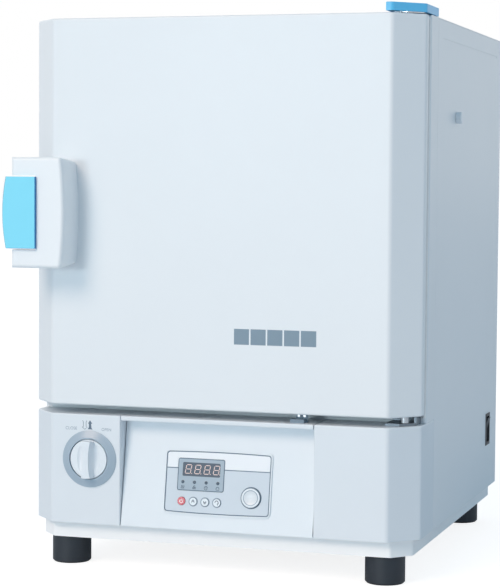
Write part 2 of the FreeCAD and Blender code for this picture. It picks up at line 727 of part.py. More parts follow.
def control_board():
    """The circuit board, with a switch under each key, the lamps and a plug header."""
    back = -BOARD_DEPTH - BOARD_WALL
    x0 = PANEL_X0 - BOARD_MARGIN
    x1 = PANEL_X1 + BOARD_MARGIN
    board = block(x0, x1, PANEL_H0 - BOARD_MARGIN, PANEL_H1 + BOARD_MARGIN, back, -BOARD_DEPTH)
    parts = [board]
    half = SWITCH_SIZE / 2
    for x, h in key_places():
        top = key_bottom() - KEY_TRAVEL - SEAM
        parts.append(block(x - half, x + half, h - half, h + half, -BOARD_DEPTH, top))
    top = start_bottom() - START_TRAVEL - SEAM
    parts.append(block(START_X - half, START_X + half, START_H - half, START_H + half,
                       -BOARD_DEPTH, top))
    lamps = [x for x, _ in key_places()]
    for x in lamps:
        parts.append(Part.makeCylinder(LAMP_RADIUS, BOARD_DEPTH - SEAM, Vector(x, LAMP_H, -BOARD_DEPTH)))
    header = block(x1 - 30, x1 - 8, PANEL_H1 - 14, PANEL_H1 - 6, back - 9, back)
    parts.append(header)
    return on_slope(fused(parts[0], *parts[1:]))


def key_bottom():
    """How deep a key's stem reaches, in the slope's axes."""
    return -BOARD_DEPTH + 4.0


def start_bottom():
    """How deep the start button's stem reaches, in the slope's axes."""
    return -BOARD_DEPTH + 4.5


def key(index):
    """A round key: its cap, the flange that keeps it in, and the stem over its switch."""
    x, h = key_places()[index]
    flange_top = -KEY_TRAVEL
    cap = Part.makeCylinder(KEY_RADIUS, PANEL_PLATE + KEY_PROUD - flange_top + KEY_FLANGE_WALL,
                            Vector(x, h, flange_top - KEY_FLANGE_WALL))
    rim = edges_where(cap, lambda b: b.ZMin > PANEL_PLATE + KEY_PROUD - 0.01)
    cap = cap.makeFillet(KEY_PROUD * 0.4, rim)
    flange = Part.makeCylinder(KEY_RADIUS + KEY_FLANGE, KEY_FLANGE_WALL,
                               Vector(x, h, flange_top - KEY_FLANGE_WALL))
    stem = Part.makeCylinder(KEY_STEM_RADIUS, flange_top - key_bottom(), Vector(x, h, key_bottom()))
    return on_slope(fused(cap, flange, stem))


def start_button():
    """The large round button, with a raised ring and a dished middle."""
    top = PANEL_PLATE + START_PROUD
    base = -START_TRAVEL - KEY_FLANGE_WALL
    at = Vector(START_X, START_H, base)
    cap = Part.makeCylinder(START_RADIUS, top - base, at)
    rim = edges_where(cap, lambda b: b.ZMin > top - 0.01)
    cap = cap.makeFillet(START_PROUD * 0.4, rim)
    ball = (START_DISH_RADIUS ** 2 + START_DISH_DEPTH ** 2) / (2 * START_DISH_DEPTH)
    dish = Part.makeSphere(ball, Vector(START_X, START_H, top + ball - START_DISH_DEPTH))
    cap = cap.cut(dish)
    flange = Part.makeCylinder(START_RADIUS + KEY_FLANGE, KEY_FLANGE_WALL, at)
    stem = Part.makeCylinder(KEY_STEM_RADIUS, base - start_bottom(),
                             Vector(START_X, START_H, start_bottom()))
    return on_slope(fused(cap, flange, stem))


def knob_ring():
    """The bevelled ring round the vent knob, on the left cheek's face."""
    outline = [(RING_INNER_RADIUS, 0), (RING_RADIUS, 0), (RING_RADIUS, -1.0),
               (RING_INNER_RADIUS + RING_CREST, -RING_PROUD), (RING_INNER_RADIUS, -RING_PROUD)]
    points = [(VENT_X + r, y, VENT_Z) for r, y in outline]
    return flat_face(points).revolve(Vector(VENT_X, 0, VENT_Z), Y_AXIS, 360)


def vent_knob():
    """The vent knob: a disc with a grip bar left between two lens-shaped scoops, and a hub behind."""
    back = -KNOB_BACK_GAP
    face = back - KNOB_DISC
    front = face - KNOB_GRIP
    disc = rod(VENT_X, face, VENT_Z, Y_AXIS, KNOB_RADIUS, KNOB_DISC)
    disc = disc.makeFillet(KNOB_EDGE, edges_where(disc, lambda b: b.YMax < face + 0.01))
    post = rod(VENT_X, front, VENT_Z, Y_AXIS, KNOB_RADIUS - KNOB_EDGE, KNOB_GRIP + KNOB_DISC / 2)
    bar = block(VENT_X - KNOB_BAR_HALF, VENT_X + KNOB_BAR_HALF, front, back,
                VENT_Z - KNOB_RADIUS, VENT_Z + KNOB_RADIUS)
    bar = post.common(bar)
    bar = bar.makeFillet(KNOB_EDGE, edges_where(bar, lambda b: b.YMax < front + 0.01))
    body = fused(disc, bar)
    for side in (-1, 1):
        middle = VENT_X + side * (KNOB_WAIST + KNOB_SCOOP_ACROSS)
        body = body.cut(ellipsoid(middle, front, VENT_Z, KNOB_SCOOP_ACROSS, KNOB_SCOOP_DEEP,
                                  KNOB_SCOOP_TALL))
    hub = rod(VENT_X, back, VENT_Z, Y_AXIS, KNOB_HUB_RADIUS, KNOB_HUB_LENGTH)
    socket = rod(VENT_X, back, VENT_Z, Y_AXIS, VENT_SHAFT_RADIUS, KNOB_HUB_LENGTH + 1)
    return fused(body, hub).cut(socket)


def air_holes(angle):
    """Two opposite air holes beside the vent shaft, as cutters, at an angle in the xz plane."""
    holes = []
    for turn in (math.radians(angle), math.radians(angle + 180)):
        x = VENT_X + SHUTTER_HOLE_AT * math.cos(turn)
        z = VENT_Z + SHUTTER_HOLE_AT * math.sin(turn)
        holes.append(rod(x, SHUTTER_FRONT - JOINT_GAP, z, Y_AXIS, SHUTTER_HOLE_RADIUS, 5))
    return holes


def vent_shutter():
    """The long vent shaft and its round shutter plate, half open as the knob stands upright."""
    start = -KNOB_BACK_GAP
    shaft = rod(VENT_X, start, VENT_Z, Y_AXIS, VENT_SHAFT_RADIUS, DUCT_FRONT + DUCT_WALL + 4 - start)
    plate = rod(VENT_X, SHUTTER_FRONT, VENT_Z, Y_AXIS, SHUTTER_RADIUS, SHUTTER_WALL)
    hub = rod(VENT_X, SHUTTER_FRONT - 8, VENT_Z, Y_AXIS, SHUTTER_HUB_RADIUS, 8)
    return fused(shaft, plate, hub).cut(air_holes(SHUTTER_TURN))


def vent_duct():
    """The sheet-metal duct that leads air from the shutter up behind the baffle."""
    x0 = VENT_X - DUCT_HALF
    x1 = VENT_X + DUCT_HALF
    y1 = DUCT_FRONT + DUCT_DEPTH
    z0 = VENT_Z - DUCT_BELOW
    wall = DUCT_WALL
    duct = block(x0, x1, DUCT_FRONT, y1, z0, CHAMBER_FLOOR)
    duct = duct.cut(block(x0 + wall, x1 - wall, DUCT_FRONT + wall, y1 - wall, z0 + wall, CHAMBER_FLOOR + 1))
    duct = duct.cut(air_holes(0))
    return duct.cut(rod(VENT_X, DUCT_FRONT - 1, VENT_Z, Y_AXIS, VENT_SHAFT_RADIUS + RUNNING, wall + 2))


def duct_cutter(z0, z1):
    """The way that the duct takes through a plate or slab, with a little room."""
    room = SEAM
    return block(VENT_X - DUCT_HALF - room, VENT_X + DUCT_HALF + room, DUCT_FRONT - room,
                 DUCT_FRONT + DUCT_DEPTH + room, z0, z1)


def deck_plate():
    """The deck between the electrical compartment and the insulated chamber, with side flanges."""
    side = INNER_HALF - SEAM
    narrow = INNER_HALF - PANEL_FLANGE - SEAM
    y0 = SEAM_LINE + PANEL_FLANGE
    y1 = REAR_FACE - PANEL_FLANGE
    plate = block(-narrow, narrow, WOOL_FRONT, REAR_FACE - SEAM, DECK_Z, DECK_TOP)
    wings = block(-side, side, y0, y1, DECK_Z, DECK_TOP)
    flanges = []
    for x0, x1 in ((-side, -side + FRAME_WALL), (side - FRAME_WALL, side)):
        flanges.append(block(x0, x1, y0, y1, DECK_Z - DECK_FLANGE, DECK_TOP))
    return fused(plate, wings, *flanges).cut(duct_cutter(DECK_Z - 1, DECK_TOP + 1))


def side_panel(side):
    """A side panel with flanges folded in at its front, bottom and rear, and a crease near its top."""
    y0 = SEAM_LINE + SEAM
    y1 = REAR_FACE - SEAM
    z0 = BASE_TOP
    z1 = COVER_BOTTOM - SEAM
    outer = side * HALF
    inner = side * INNER_HALF
    fold = side * (INNER_HALF - PANEL_FLANGE)
    sheet = block(min(outer, inner), max(outer, inner), y0, y1, z0, z1)
    front = block(min(fold, inner), max(fold, inner), y0, y0 + PANEL_WALL, PAN_TOP + SEAM, z1)
    rear = block(min(fold, inner), max(fold, inner), y1 - PANEL_WALL, y1, PAN_TOP + SEAM, z1)
    crease_face = side * (HALF - CREASE_DEPTH)
    crease = block(min(crease_face, outer + side), max(crease_face, outer + side), CREASE_Y0, CREASE_Y1,
                   CREASE_Z - CREASE_HEIGHT / 2, CREASE_Z + CREASE_HEIGHT / 2)
    return fused(sheet, front, rear).cut(crease)


def left_side_panel():
    """The plain left side panel."""
    return side_panel(-1)


def right_side_panel():
    """The right side panel, with the breaker's cut-out and the probe port's hole."""
    panel = side_panel(1)
    half_y = BREAKER_WIDTH / 2 - BREAKER_FRAME / 2
    half_z = BREAKER_HEIGHT / 2 - BREAKER_FRAME / 2
    cutout = block(INNER_HALF - 1, HALF + 1, BREAKER_Y - half_y, BREAKER_Y + half_y,
                   BREAKER_Z - half_z, BREAKER_Z + half_z)
    port = rod(INNER_HALF - 1, PORT_Y, PORT_Z, X_AXIS, PORT_SLEEVE_RADIUS, PANEL_WALL + 2)
    return panel.cut(cutout).cut(port)


def top_cover():
    """The flat top cover behind the front frame."""
    return block(-HALF, HALF, SEAM_LINE + SEAM, REAR_FACE - SEAM, COVER_BOTTOM, BODY_TOP)


def rear_panel():
    """The rear panel with its exhaust hole, inlet cut-out, motor grille and louvres."""
    panel = block(-HALF, HALF, REAR_FACE, BACK, BASE_TOP, BODY_TOP)
    panel = panel.cut(rod(PIPE_X, REAR_FACE - 1, CHAMBER_MID_Z + PIPE_UP, Y_AXIS, PIPE_RADIUS, 4))
    half_x = INLET_BODY_WIDTH / 2
    half_z = INLET_BODY_HEIGHT / 2
    panel = panel.cut(block(INLET_X - half_x, INLET_X + half_x, REAR_FACE - 1, BACK + 1,
                            INLET_Z - half_z, INLET_Z + half_z))
    for middle_x, middle_z, count in ((0, CHAMBER_MID_Z, GRILLE_SLOTS), (LOUVRE_X, LOUVRE_Z, 5)):
        for k in range(count):
            z = middle_z + (k - (count - 1) / 2) * GRILLE_PITCH
            panel = panel.cut(block(middle_x - GRILLE_SLOT_LENGTH / 2, middle_x + GRILLE_SLOT_LENGTH / 2,
                                    REAR_FACE - 1, BACK + 1, z - GRILLE_SLOT_WIDTH / 2,
                                    z + GRILLE_SLOT_WIDTH / 2))
    return panel


def rear_screws():
    """The screws round the rear panel."""
    side = HALF - SCREW_IN
    low = BASE_TOP + SCREW_IN
    high = BODY_TOP - SCREW_IN
    rows = [low, low + (high - low) / 3, low + 2 * (high - low) / 3, high]
    return Part.makeCompound([screw(x, z) for x in (-side, side) for z in rows])


def screw(x, z):
    """A pan-head screw on the back, its shank inside the panel's hole line."""
    head = rod(x, BACK, z, Y_AXIS, SCREW_HEAD_RADIUS, SCREW_HEAD)
    rim = edges_where(head, lambda b: b.YMin > BACK + SCREW_HEAD - 0.01)
    return head.makeFillet(SCREW_HEAD * 0.4, rim)


def front_frame():
    """The frame round the chamber's mouth, with returns to the seam of the side panels and top."""
    z0 = HOUSING_TOP + SEAM
    back = SEAM_LINE - SEAM
    outer = block(-HALF, HALF, FRAME_FRONT, back, z0, BODY_TOP)
    corners = edges_where(outer, lambda b: b.YMax < FRAME_FRONT + 0.01 and
                          (is_upright(b) or b.ZMin > BODY_TOP - 0.01))
    outer = outer.makeFillet(FRAME_EDGE_RADIUS, corners)
    wall = FRAME_WALL
    inner = block(-HALF + wall, HALF - wall, FRAME_FRONT + wall, back + 1, z0 + wall, BODY_TOP - wall)
    inner_corners = edges_where(inner, lambda b: b.YMax < FRAME_FRONT + wall + 0.01 and
                                (is_upright(b) or b.ZMin > BODY_TOP - wall - 0.01))
    inner = inner.makeFillet(FRAME_EDGE_RADIUS - wall, inner_corners)
    frame = outer.cut(inner)
    return frame.cut(block(-CHAMBER_HALF, CHAMBER_HALF, FRAME_FRONT - 1, FRAME_FRONT + wall + 1,
                           CHAMBER_FLOOR, CHAMBER_TOP))


def heater_ends():
    """The two ends of the heater ring, which is open at the bottom."""
    spare = math.radians((360 - HEATER_SWEEP) / 2)
    x = HEATER_RING_RADIUS * math.sin(spare)
    z = CHAMBER_MID_Z - HEATER_RING_RADIUS * math.cos(spare)
    return [(-x, z), (x, z)]


def post_places():
    """The motor bracket's four posts."""
    reach = MOTOR_PLATE / 2 - MOTOR_POST_IN
    return [(x, CHAMBER_MID_Z + z) for x in (-reach, reach) for z in (-reach, reach)]


def rear_passages(y0, y1, room):
    """Cutters for all that passes through the chamber's back: shaft, heater, probe and pipe."""
    length = y1 - y0
    cutters = [rod(0, y0, CHAMBER_MID_Z, Y_AXIS, SHAFT_HOLE_RADIUS, length)]
    for x, z in heater_ends():
        cutters.append(rod(x, y0, z, Y_AXIS, HEATER_TUBE_RADIUS + room, length))
    cutters.append(rod(PROBE_X, y0, CHAMBER_MID_Z + PROBE_UP, Y_AXIS, PROBE_RADIUS + room, length))
    cutters.append(rod(PIPE_X, y0, CHAMBER_MID_Z + PIPE_UP, Y_AXIS, PIPE_RADIUS + room, length))
    return cutters


def inner_chamber():
    """The stainless chamber: five walls and a flange behind the front frame."""
    wall = CHAMBER_WALL
    outer = block(-CHAMBER_HALF - wall, CHAMBER_HALF + wall, CHAMBER_FRONT, CHAMBER_REAR + wall,
                  CHAMBER_FLOOR - wall, CHAMBER_TOP + wall)
    reach = CHAMBER_FLANGE
    flange = block(-CHAMBER_HALF - reach, CHAMBER_HALF + reach, CHAMBER_FRONT, CHAMBER_FRONT + wall,
                   CHAMBER_FLOOR - reach, CHAMBER_TOP + reach)
    inner = block(-CHAMBER_HALF, CHAMBER_HALF, CHAMBER_FRONT - 1, CHAMBER_REAR, CHAMBER_FLOOR, CHAMBER_TOP)
    shell = fused(outer, flange).cut(inner)
    shell = shell.cut(rear_passages(CHAMBER_REAR - 1, CHAMBER_REAR + wall + 1, SEAM))
    shell = shell.cut(duct_cutter(CHAMBER_FLOOR - wall - 1, CHAMBER_FLOOR + 1))
    port = rod(CHAMBER_HALF - 1, PORT_Y, PORT_Z, X_AXIS, PORT_SLEEVE_RADIUS, wall + 2)
    return shell.cut(port)


def chamber_insulation():
    """Five slabs of mineral wool round the chamber."""
    x_in = CHAMBER_HALF + CHAMBER_WALL
    x_out = x_in + SIDE_WOOL
    y1 = CHAMBER_REAR + CHAMBER_WALL
    z_low = CHAMBER_FLOOR - CHAMBER_WALL
    z_high = CHAMBER_TOP + CHAMBER_WALL
    left = block(-x_out, -x_in, WOOL_FRONT, y1, DECK_TOP, z_high)
    right = block(x_in, x_out, WOOL_FRONT, y1, DECK_TOP, z_high)
    right = right.cut(rod(x_in - 1, PORT_Y, PORT_Z, X_AXIS, PORT_SLEEVE_RADIUS + SEAM, SIDE_WOOL + 2))
    floor = block(-x_in, x_in, WOOL_FRONT, y1, DECK_TOP, z_low).cut(duct_cutter(DECK_TOP - 1, z_low + 1))
    top = block(-x_out, x_out, WOOL_FRONT, y1, z_high, z_high + TOP_WOOL)
    rear = block(-x_out, x_out, y1, WOOL_REAR, DECK_TOP, z_high + TOP_WOOL)
    rear = rear.cut(rear_passages(y1 - 1, WOOL_REAR + 1, SEAM))
    for x, z in post_places():
        rear = rear.cut(rod(x, y1 - 1, z, Y_AXIS, MOTOR_POST_RADIUS + SEAM, REAR_WOOL + 2))
    return Part.makeCompound([left, right, floor, top, rear])


def air_baffle():
    """The baffle in front of the fan: round intake holes in the middle and outlet slots at the sides."""
    side = CHAMBER_HALF - 1.0
    z0 = CHAMBER_FLOOR
    z1 = CHAMBER_TOP
    wall = CHAMBER_WALL
    sheet = block(-side, side, BAFFLE_FRONT, BAFFLE_FRONT + wall, z0, z1)
    low = block(-side, side, BAFFLE_FRONT, BAFFLE_FRONT + 5, z0, z0 + wall)
    high = block(-side, side, BAFFLE_FRONT, CHAMBER_REAR, z1 - wall, z1)
    baffle = fused(sheet, low, high)
    cutters = [rod(0, BAFFLE_FRONT - 1, CHAMBER_MID_Z, Y_AXIS, BAFFLE_HOLE_RADIUS, wall + 2)]
    for ring in range(1, BAFFLE_RINGS + 1):
        for k in range(6 * ring):
            angle = math.radians(60 * k / ring)
            x = ring * BAFFLE_RING_PITCH * math.cos(angle)
            z = CHAMBER_MID_Z + ring * BAFFLE_RING_PITCH * math.sin(angle)
            cutters.append(rod(x, BAFFLE_FRONT - 1, z, Y_AXIS, BAFFLE_HOLE_RADIUS, wall + 2))
    spread = (CHAMBER_HEIGHT - 70) / (BAFFLE_SLOT_ROWS - 1)
    for column in (-1, 1):
        for k in range(BAFFLE_SLOT_ROWS):
            z = z0 + 35 + k * spread
            x = column * (side - 28)
            cutters.append(block(x - BAFFLE_SLOT_LENGTH / 2, x + BAFFLE_SLOT_LENGTH / 2, BAFFLE_FRONT - 1,
                                 BAFFLE_FRONT + wall + 1, z - BAFFLE_SLOT_WIDTH / 2,
                                 z + BAFFLE_SLOT_WIDTH / 2))
    cutters.append(rod(PROBE_X, BAFFLE_FRONT - 1, CHAMBER_MID_Z + PROBE_UP, Y_AXIS,
                       PROBE_RADIUS + SEAM, wall + 2))
    return baffle.cut(cutters)


def fan_impeller():
    """The circulation fan: back plate, twelve blades, front ring and hub, with its steel shaft."""
    front = BAFFLE_FRONT + CHAMBER_WALL + FAN_FRONT_GAP
    back = front + FAN_WIDTH
    plate = rod(0, back - FAN_WALL, CHAMBER_MID_Z, Y_AXIS, FAN_RADIUS, FAN_WALL)
    ring = rod(0, front, CHAMBER_MID_Z, Y_AXIS, FAN_RADIUS, FAN_WALL)
    ring = ring.cut(rod(0, front - 1, CHAMBER_MID_Z, Y_AXIS, FAN_RADIUS * 0.72, FAN_WALL + 2))
    hub = rod(0, front + 4, CHAMBER_MID_Z, Y_AXIS, FAN_HUB_RADIUS, FAN_WIDTH - 4)
    parts = [ring, hub]
    for k in range(FAN_BLADES):
        blade = block(FAN_RADIUS * 0.5, FAN_RADIUS - 0.5, front, back, CHAMBER_MID_Z - FAN_WALL / 2,
                      CHAMBER_MID_Z + FAN_WALL / 2)
        blade.rotate(Vector(FAN_RADIUS * 0.75, 0, CHAMBER_MID_Z), Y_AXIS, 28)
        blade.rotate(Vector(0, 0, CHAMBER_MID_Z), Y_AXIS, 360 * k / FAN_BLADES)
        parts.append(blade)
    outer = rod(0, front, CHAMBER_MID_Z, Y_AXIS, FAN_RADIUS, FAN_WIDTH)
    rotor = fused(plate, *parts).common(outer)
    shaft_end = MOTOR_FRONT + MOTOR_SHAFT_DEPTH - 1
    shaft = rod(0, front + 4, CHAMBER_MID_Z, Y_AXIS, FAN_SHAFT_RADIUS, shaft_end - front - 4)
    return Part.makeCompound([rotor.cut(shaft), shaft])


def fan_motor():
    """The fan motor on its bracket, with cooling ribs and a bore for the shaft."""
    body = rod(0, MOTOR_FRONT, CHAMBER_MID_Z, Y_AXIS, MOTOR_RADIUS, MOTOR_LENGTH)
    rims = edges_where(body, lambda b: b.XLength > MOTOR_RADIUS and b.YLength < 0.01)
    body = body.makeFillet(3.0, rims)
    groove_in = MOTOR_RADIUS - 2.0
    for k in range(3):
        y = MOTOR_FRONT + MOTOR_LENGTH * (0.3 + 0.2 * k)
        ring = rod(0, y - 1.5, CHAMBER_MID_Z, Y_AXIS, MOTOR_RADIUS + 1, 3)
        body = body.cut(ring.cut(rod(0, y - 1.5, CHAMBER_MID_Z, Y_AXIS, groove_in, 3)))
    bore = rod(0, MOTOR_FRONT - 1, CHAMBER_MID_Z, Y_AXIS, FAN_SHAFT_RADIUS + RUNNING, MOTOR_SHAFT_DEPTH + 1)
    return body.cut(bore)


def motor_bracket():
    """The plate that carries the motor, on four posts from the chamber's back wall."""
    half = MOTOR_PLATE / 2
    plate = block(-half, half, MOTOR_PLATE_FRONT, MOTOR_FRONT, CHAMBER_MID_Z - half, CHAMBER_MID_Z + half)
    start = CHAMBER_REAR + CHAMBER_WALL
    posts = [rod(x, start, z, Y_AXIS, MOTOR_POST_RADIUS, MOTOR_PLATE_FRONT - start)
             for x, z in post_places()]
    bracket = fused(plate, *posts)
    return bracket.cut(rear_passages(MOTOR_PLATE_FRONT - 1, MOTOR_FRONT + 1, SEAM))


def heater_element():
    """The tubular heater: an open ring round the fan, with two tails through the chamber's back."""
    middle_y = (BAFFLE_FRONT + CHAMBER_WALL + CHAMBER_REAR) / 2
    ring = Part.makeTorus(HEATER_RING_RADIUS, HEATER_TUBE_RADIUS, Vector(), Z_AXIS, -180, 180,
                          HEATER_SWEEP)
    ring.rotate(Vector(), Z_AXIS, (360 - HEATER_SWEEP) / 2 - 90)
    ring.rotate(Vector(), X_AXIS, 90)
    ring.translate(Vector(0, middle_y, CHAMBER_MID_Z))
    parts = []
    for x, z in heater_ends():
        parts.append(Part.makeSphere(HEATER_TUBE_RADIUS, Vector(x, middle_y, z)))
        parts.append(rod(x, middle_y, z, Y_AXIS, HEATER_TUBE_RADIUS, WOOL_REAR + HEATER_TAIL - middle_y))
    return fused(ring, *parts)


def temperature_sensor():
    """The probe that reaches through the baffle, with its head behind the insulation."""
    z = CHAMBER_MID_Z + PROBE_UP
    start = BAFFLE_FRONT - PROBE_REACH
    probe = rod(PROBE_X, start, z, Y_AXIS, PROBE_RADIUS, WOOL_REAR - start + 1)
    head = rod(PROBE_X, WOOL_REAR, z, Y_AXIS, PROBE_HEAD_RADIUS, PROBE_HEAD)
    return fused(probe, head)


def exhaust_pipe():
    """The exhaust pipe from the chamber to the outside, with a flange on the rear panel."""
    z = CHAMBER_MID_Z + PIPE_UP
    start = CHAMBER_REAR
    length = BACK + PIPE_STANDOUT - start
    pipe = rod(PIPE_X, start, z, Y_AXIS, PIPE_RADIUS, length)
    flange = rod(PIPE_X, BACK, z, Y_AXIS, PIPE_FLANGE_RADIUS, PIPE_FLANGE)
    bore = rod(PIPE_X, start - 1, z, Y_AXIS, PIPE_RADIUS - PIPE_WALL, length + 2)
    return fused(pipe, flange).cut(bore)


def upright_places():
    """The y places of the front and rear shelf uprights."""
    return (CHAMBER_FRONT + UPRIGHT_FRONT_IN, BAFFLE_FRONT - UPRIGHT_REAR_IN)


def shelf_levels():
    """The height of each shelf's underside."""
    return [CHAMBER_FLOOR + height for height in SHELF_HEIGHTS]


def shelf_supports():
    """Four slotted uprights on the chamber's walls, each with a clip under each shelf."""
    made = []
    z0 = CHAMBER_MID_Z - UPRIGHT_LENGTH / 2
    for side in (-1, 1):
        wall = side * CHAMBER_HALF
        inner = side * (CHAMBER_HALF - UPRIGHT_DEPTH)
        reach = side * (CHAMBER_HALF - UPRIGHT_DEPTH - CLIP_REACH)
        for y in upright_places():
            half = UPRIGHT_WIDTH / 2
            strip = block(min(wall, inner), max(wall, inner), y - half, y + half, z0, z0 + UPRIGHT_LENGTH)
            slots = []
            for k in range(9):
                z = z0 + UPRIGHT_LENGTH * (k + 0.5) / 9
                slots.append(block(min(inner - 1, inner + 1), max(inner - 1, inner + 1),
                                   y - half / 2, y + half / 2, z - 3, z + 3))
            clips = []
            for level in shelf_levels():
                top = level - JOINT_GAP
                clips.append(block(min(inner, reach), max(inner, reach), y - half, y + half,
                                   top - CLIP_THICKNESS, top))
                clips.append(block(min(inner, inner - side * 3), max(inner, inner - side * 3),
                                   y - half, y + half, top - 12, top))
            made.append(fused(strip.cut(slots), *clips))
    return Part.makeCompound(made)


def wire_shelf(level):
    """A wire shelf: a rod frame, a middle crossbar and wires from front to back on top."""
    y1 = BAFFLE_FRONT - SHELF_REAR_GAP
    y0 = y1 - SHELF_DEPTH
    r = SHELF_FRAME_RADIUS
    half = SHELF_WIDTH / 2 - r
    z = level + r
    parts = []
    for x in (-half, half):
        parts.append(rod(x, y0 + r, z, Y_AXIS, r, SHELF_DEPTH - 2 * r))
    for y in (y0 + r, y1 - r):
        parts.append(rod(-half, y, z, X_AXIS, r, 2 * half))
        parts.append(Part.makeSphere(r, Vector(-half, y, z)))
        parts.append(Part.makeSphere(r, Vector(half, y, z)))
    parts.append(rod(-half, (y0 + y1) / 2, z, X_AXIS, r, 2 * half))
    count = int((SHELF_WIDTH - 4 * r) / SHELF_WIRE_PITCH)
    wire_z = z + r - SHELF_WIRE_RADIUS * 0.4
    for k in range(count + 1):
        x = (k - count / 2) * SHELF_WIRE_PITCH
        parts.append(rod(x, y0 + r, wire_z, Y_AXIS, SHELF_WIRE_RADIUS, SHELF_DEPTH - 2 * r))
    return parts[0].fuse(parts[1:])


def lower_shelf():
    """The lower wire shelf."""
    return wire_shelf(shelf_levels()[0])


def upper_shelf():
    """The upper wire shelf."""
    return wire_shelf(shelf_levels()[1])


def port_sleeve():
    """The sleeve of the probe port, from the chamber's wall to the side panel's face."""
    sleeve = rod(CHAMBER_HALF, PORT_Y, PORT_Z, X_AXIS, PORT_SLEEVE_RADIUS, HALF - CHAMBER_HALF)
    bore = rod(CHAMBER_HALF - 1, PORT_Y, PORT_Z, X_AXIS, PORT_BORE_RADIUS, HALF - CHAMBER_HALF + 2)
    return sleeve.cut(bore)


def port_cap():
    """The push-in cap of the probe port."""
    head = rod(HALF + JOINT_GAP, PORT_Y, PORT_Z, X_AXIS, PORT_CAP_RADIUS, PORT_CAP_HEIGHT)
    rim = edges_where(head, lambda b: b.XMin > HALF + JOINT_GAP + PORT_CAP_HEIGHT - 0.01)
    head = head.makeFillet(2.0, rim)
    stem = rod(HALF + JOINT_GAP - PORT_STEM, PORT_Y, PORT_Z, X_AXIS, PORT_BORE_RADIUS - RUNNING, PORT_STEM)
    return fused(head, stem)


def mains_breaker():
    """The breaker's case, with a bezel on the side panel and a well for the rocker."""
    half_y = BREAKER_WIDTH / 2
    half_z = BREAKER_HEIGHT / 2
    frame = BREAKER_FRAME
    bezel = block(HALF, HALF + BREAKER_BEZEL, BREAKER_Y - half_y, BREAKER_Y + half_y,
                  BREAKER_Z - half_z, BREAKER_Z + half_z)
    case = block(HALF - BREAKER_DEPTH, HALF, BREAKER_Y - half_y + frame / 2 + SEAM,
                 BREAKER_Y + half_y - frame / 2 - SEAM, BREAKER_Z - half_z + frame / 2 + SEAM,
                 BREAKER_Z + half_z - frame / 2 - SEAM)
    well = block(HALF - ROCKER_DEPTH - 4, HALF + BREAKER_BEZEL + 1, BREAKER_Y - half_y + frame,
                 BREAKER_Y + half_y - frame, BREAKER_Z - half_z + frame, BREAKER_Z + half_z - frame)
    return fused(bezel, case).cut(well)


def breaker_rocker():
    """The rocker, whose two halves meet at a shallow angle, tilted off with its upper half out."""
    half_y = BREAKER_WIDTH / 2 - BREAKER_FRAME - JOINT_GAP
    half_z = BREAKER_HEIGHT / 2 - BREAKER_FRAME - 1.2
    face = HALF + BREAKER_BEZEL - ROCKER_SET_BACK
    rise = half_z * math.tan(math.radians(ROCKER_TILT))
    outline = [(face + rise * 0.6, BREAKER_Z - half_z), (face - rise * 0.4, BREAKER_Z),
               (face + rise * 0.6, BREAKER_Z + half_z), (HALF - ROCKER_DEPTH + 4, BREAKER_Z + half_z - 4),
               (HALF - ROCKER_DEPTH, BREAKER_Z), (HALF - ROCKER_DEPTH + 4, BREAKER_Z - half_z + 4)]
    points = [(x, BREAKER_Y - half_y, z) for x, z in outline]
    rocker = flat_face(points).extrude(Vector(0, 2 * half_y, 0))
    rocker.rotate(Vector(HALF - ROCKER_PIVOT_IN, BREAKER_Y, BREAKER_Z), Y_AXIS, ROCKER_TILT)
    return rocker


def mains_inlet():
    """The three-pin appliance inlet on the back, its pins inside a hollow mouth."""
    bezel = block(INLET_X - INLET_WIDTH / 2, INLET_X + INLET_WIDTH / 2, BACK, BACK + INLET_BEZEL,
                  INLET_Z - INLET_HEIGHT / 2, INLET_Z + INLET_HEIGHT / 2)
    half_x = INLET_BODY_WIDTH / 2 - SEAM
    half_z = INLET_BODY_HEIGHT / 2 - SEAM
    body = block(INLET_X - half_x, INLET_X + half_x, BACK - INLET_DEPTH, BACK,
                 INLET_Z - half_z, INLET_Z + half_z)
    face = BACK + INLET_BEZEL
    floor = face - INLET_MOUTH_DEPTH
    mouth = block(INLET_X - INLET_MOUTH_WIDTH / 2, INLET_X + INLET_MOUTH_WIDTH / 2, floor, face + 1,
                  INLET_Z - INLET_MOUTH_HEIGHT / 2, INLET_Z + INLET_MOUTH_HEIGHT / 2)
    shell = fused(bezel, body).cut(mouth)
    pins = []
    for x, z in ((-INLET_PIN_PITCH, -2), (0, 2), (INLET_PIN_PITCH, -2)):
        pins.append(block(INLET_X + x - INLET_PIN_WIDTH / 2, INLET_X + x + INLET_PIN_WIDTH / 2,
                          floor - 2, floor + INLET_PIN_LENGTH, INLET_Z + z - INLET_PIN_HEIGHT / 2,
                          INLET_Z + z + INLET_PIN_HEIGHT / 2))
    return fused(shell, *pins)


def solid_state_relay():
    """The heater's relay on a finned heat sink that stands on the bottom pan."""
    x0 = RELAY_X - RELAY_WIDTH / 2
    x1 = RELAY_X + RELAY_WIDTH / 2
    y0 = RELAY_Y - RELAY_DEPTH / 2
    y1 = RELAY_Y + RELAY_DEPTH / 2
    fins = []
    pitch = (RELAY_WIDTH - SINK_FIN_WALL) / (SINK_FINS - 1)
    for k in range(SINK_FINS):
        x = x0 + k * pitch
        fins.append(block(x, x + SINK_FIN_WALL, y0, y1, PAN_TOP, PAN_TOP + RELAY_SINK))
    sink = fused(block(x0, x1, y0, y1, PAN_TOP + RELAY_SINK - 5, PAN_TOP + RELAY_SINK), *fins)
    case = block(x0 + 1, x1 - 1, y0 + 1, y1 - 1, PAN_TOP + RELAY_SINK, PAN_TOP + RELAY_SINK + RELAY_HEIGHT)
    return Part.makeCompound([sink, case])


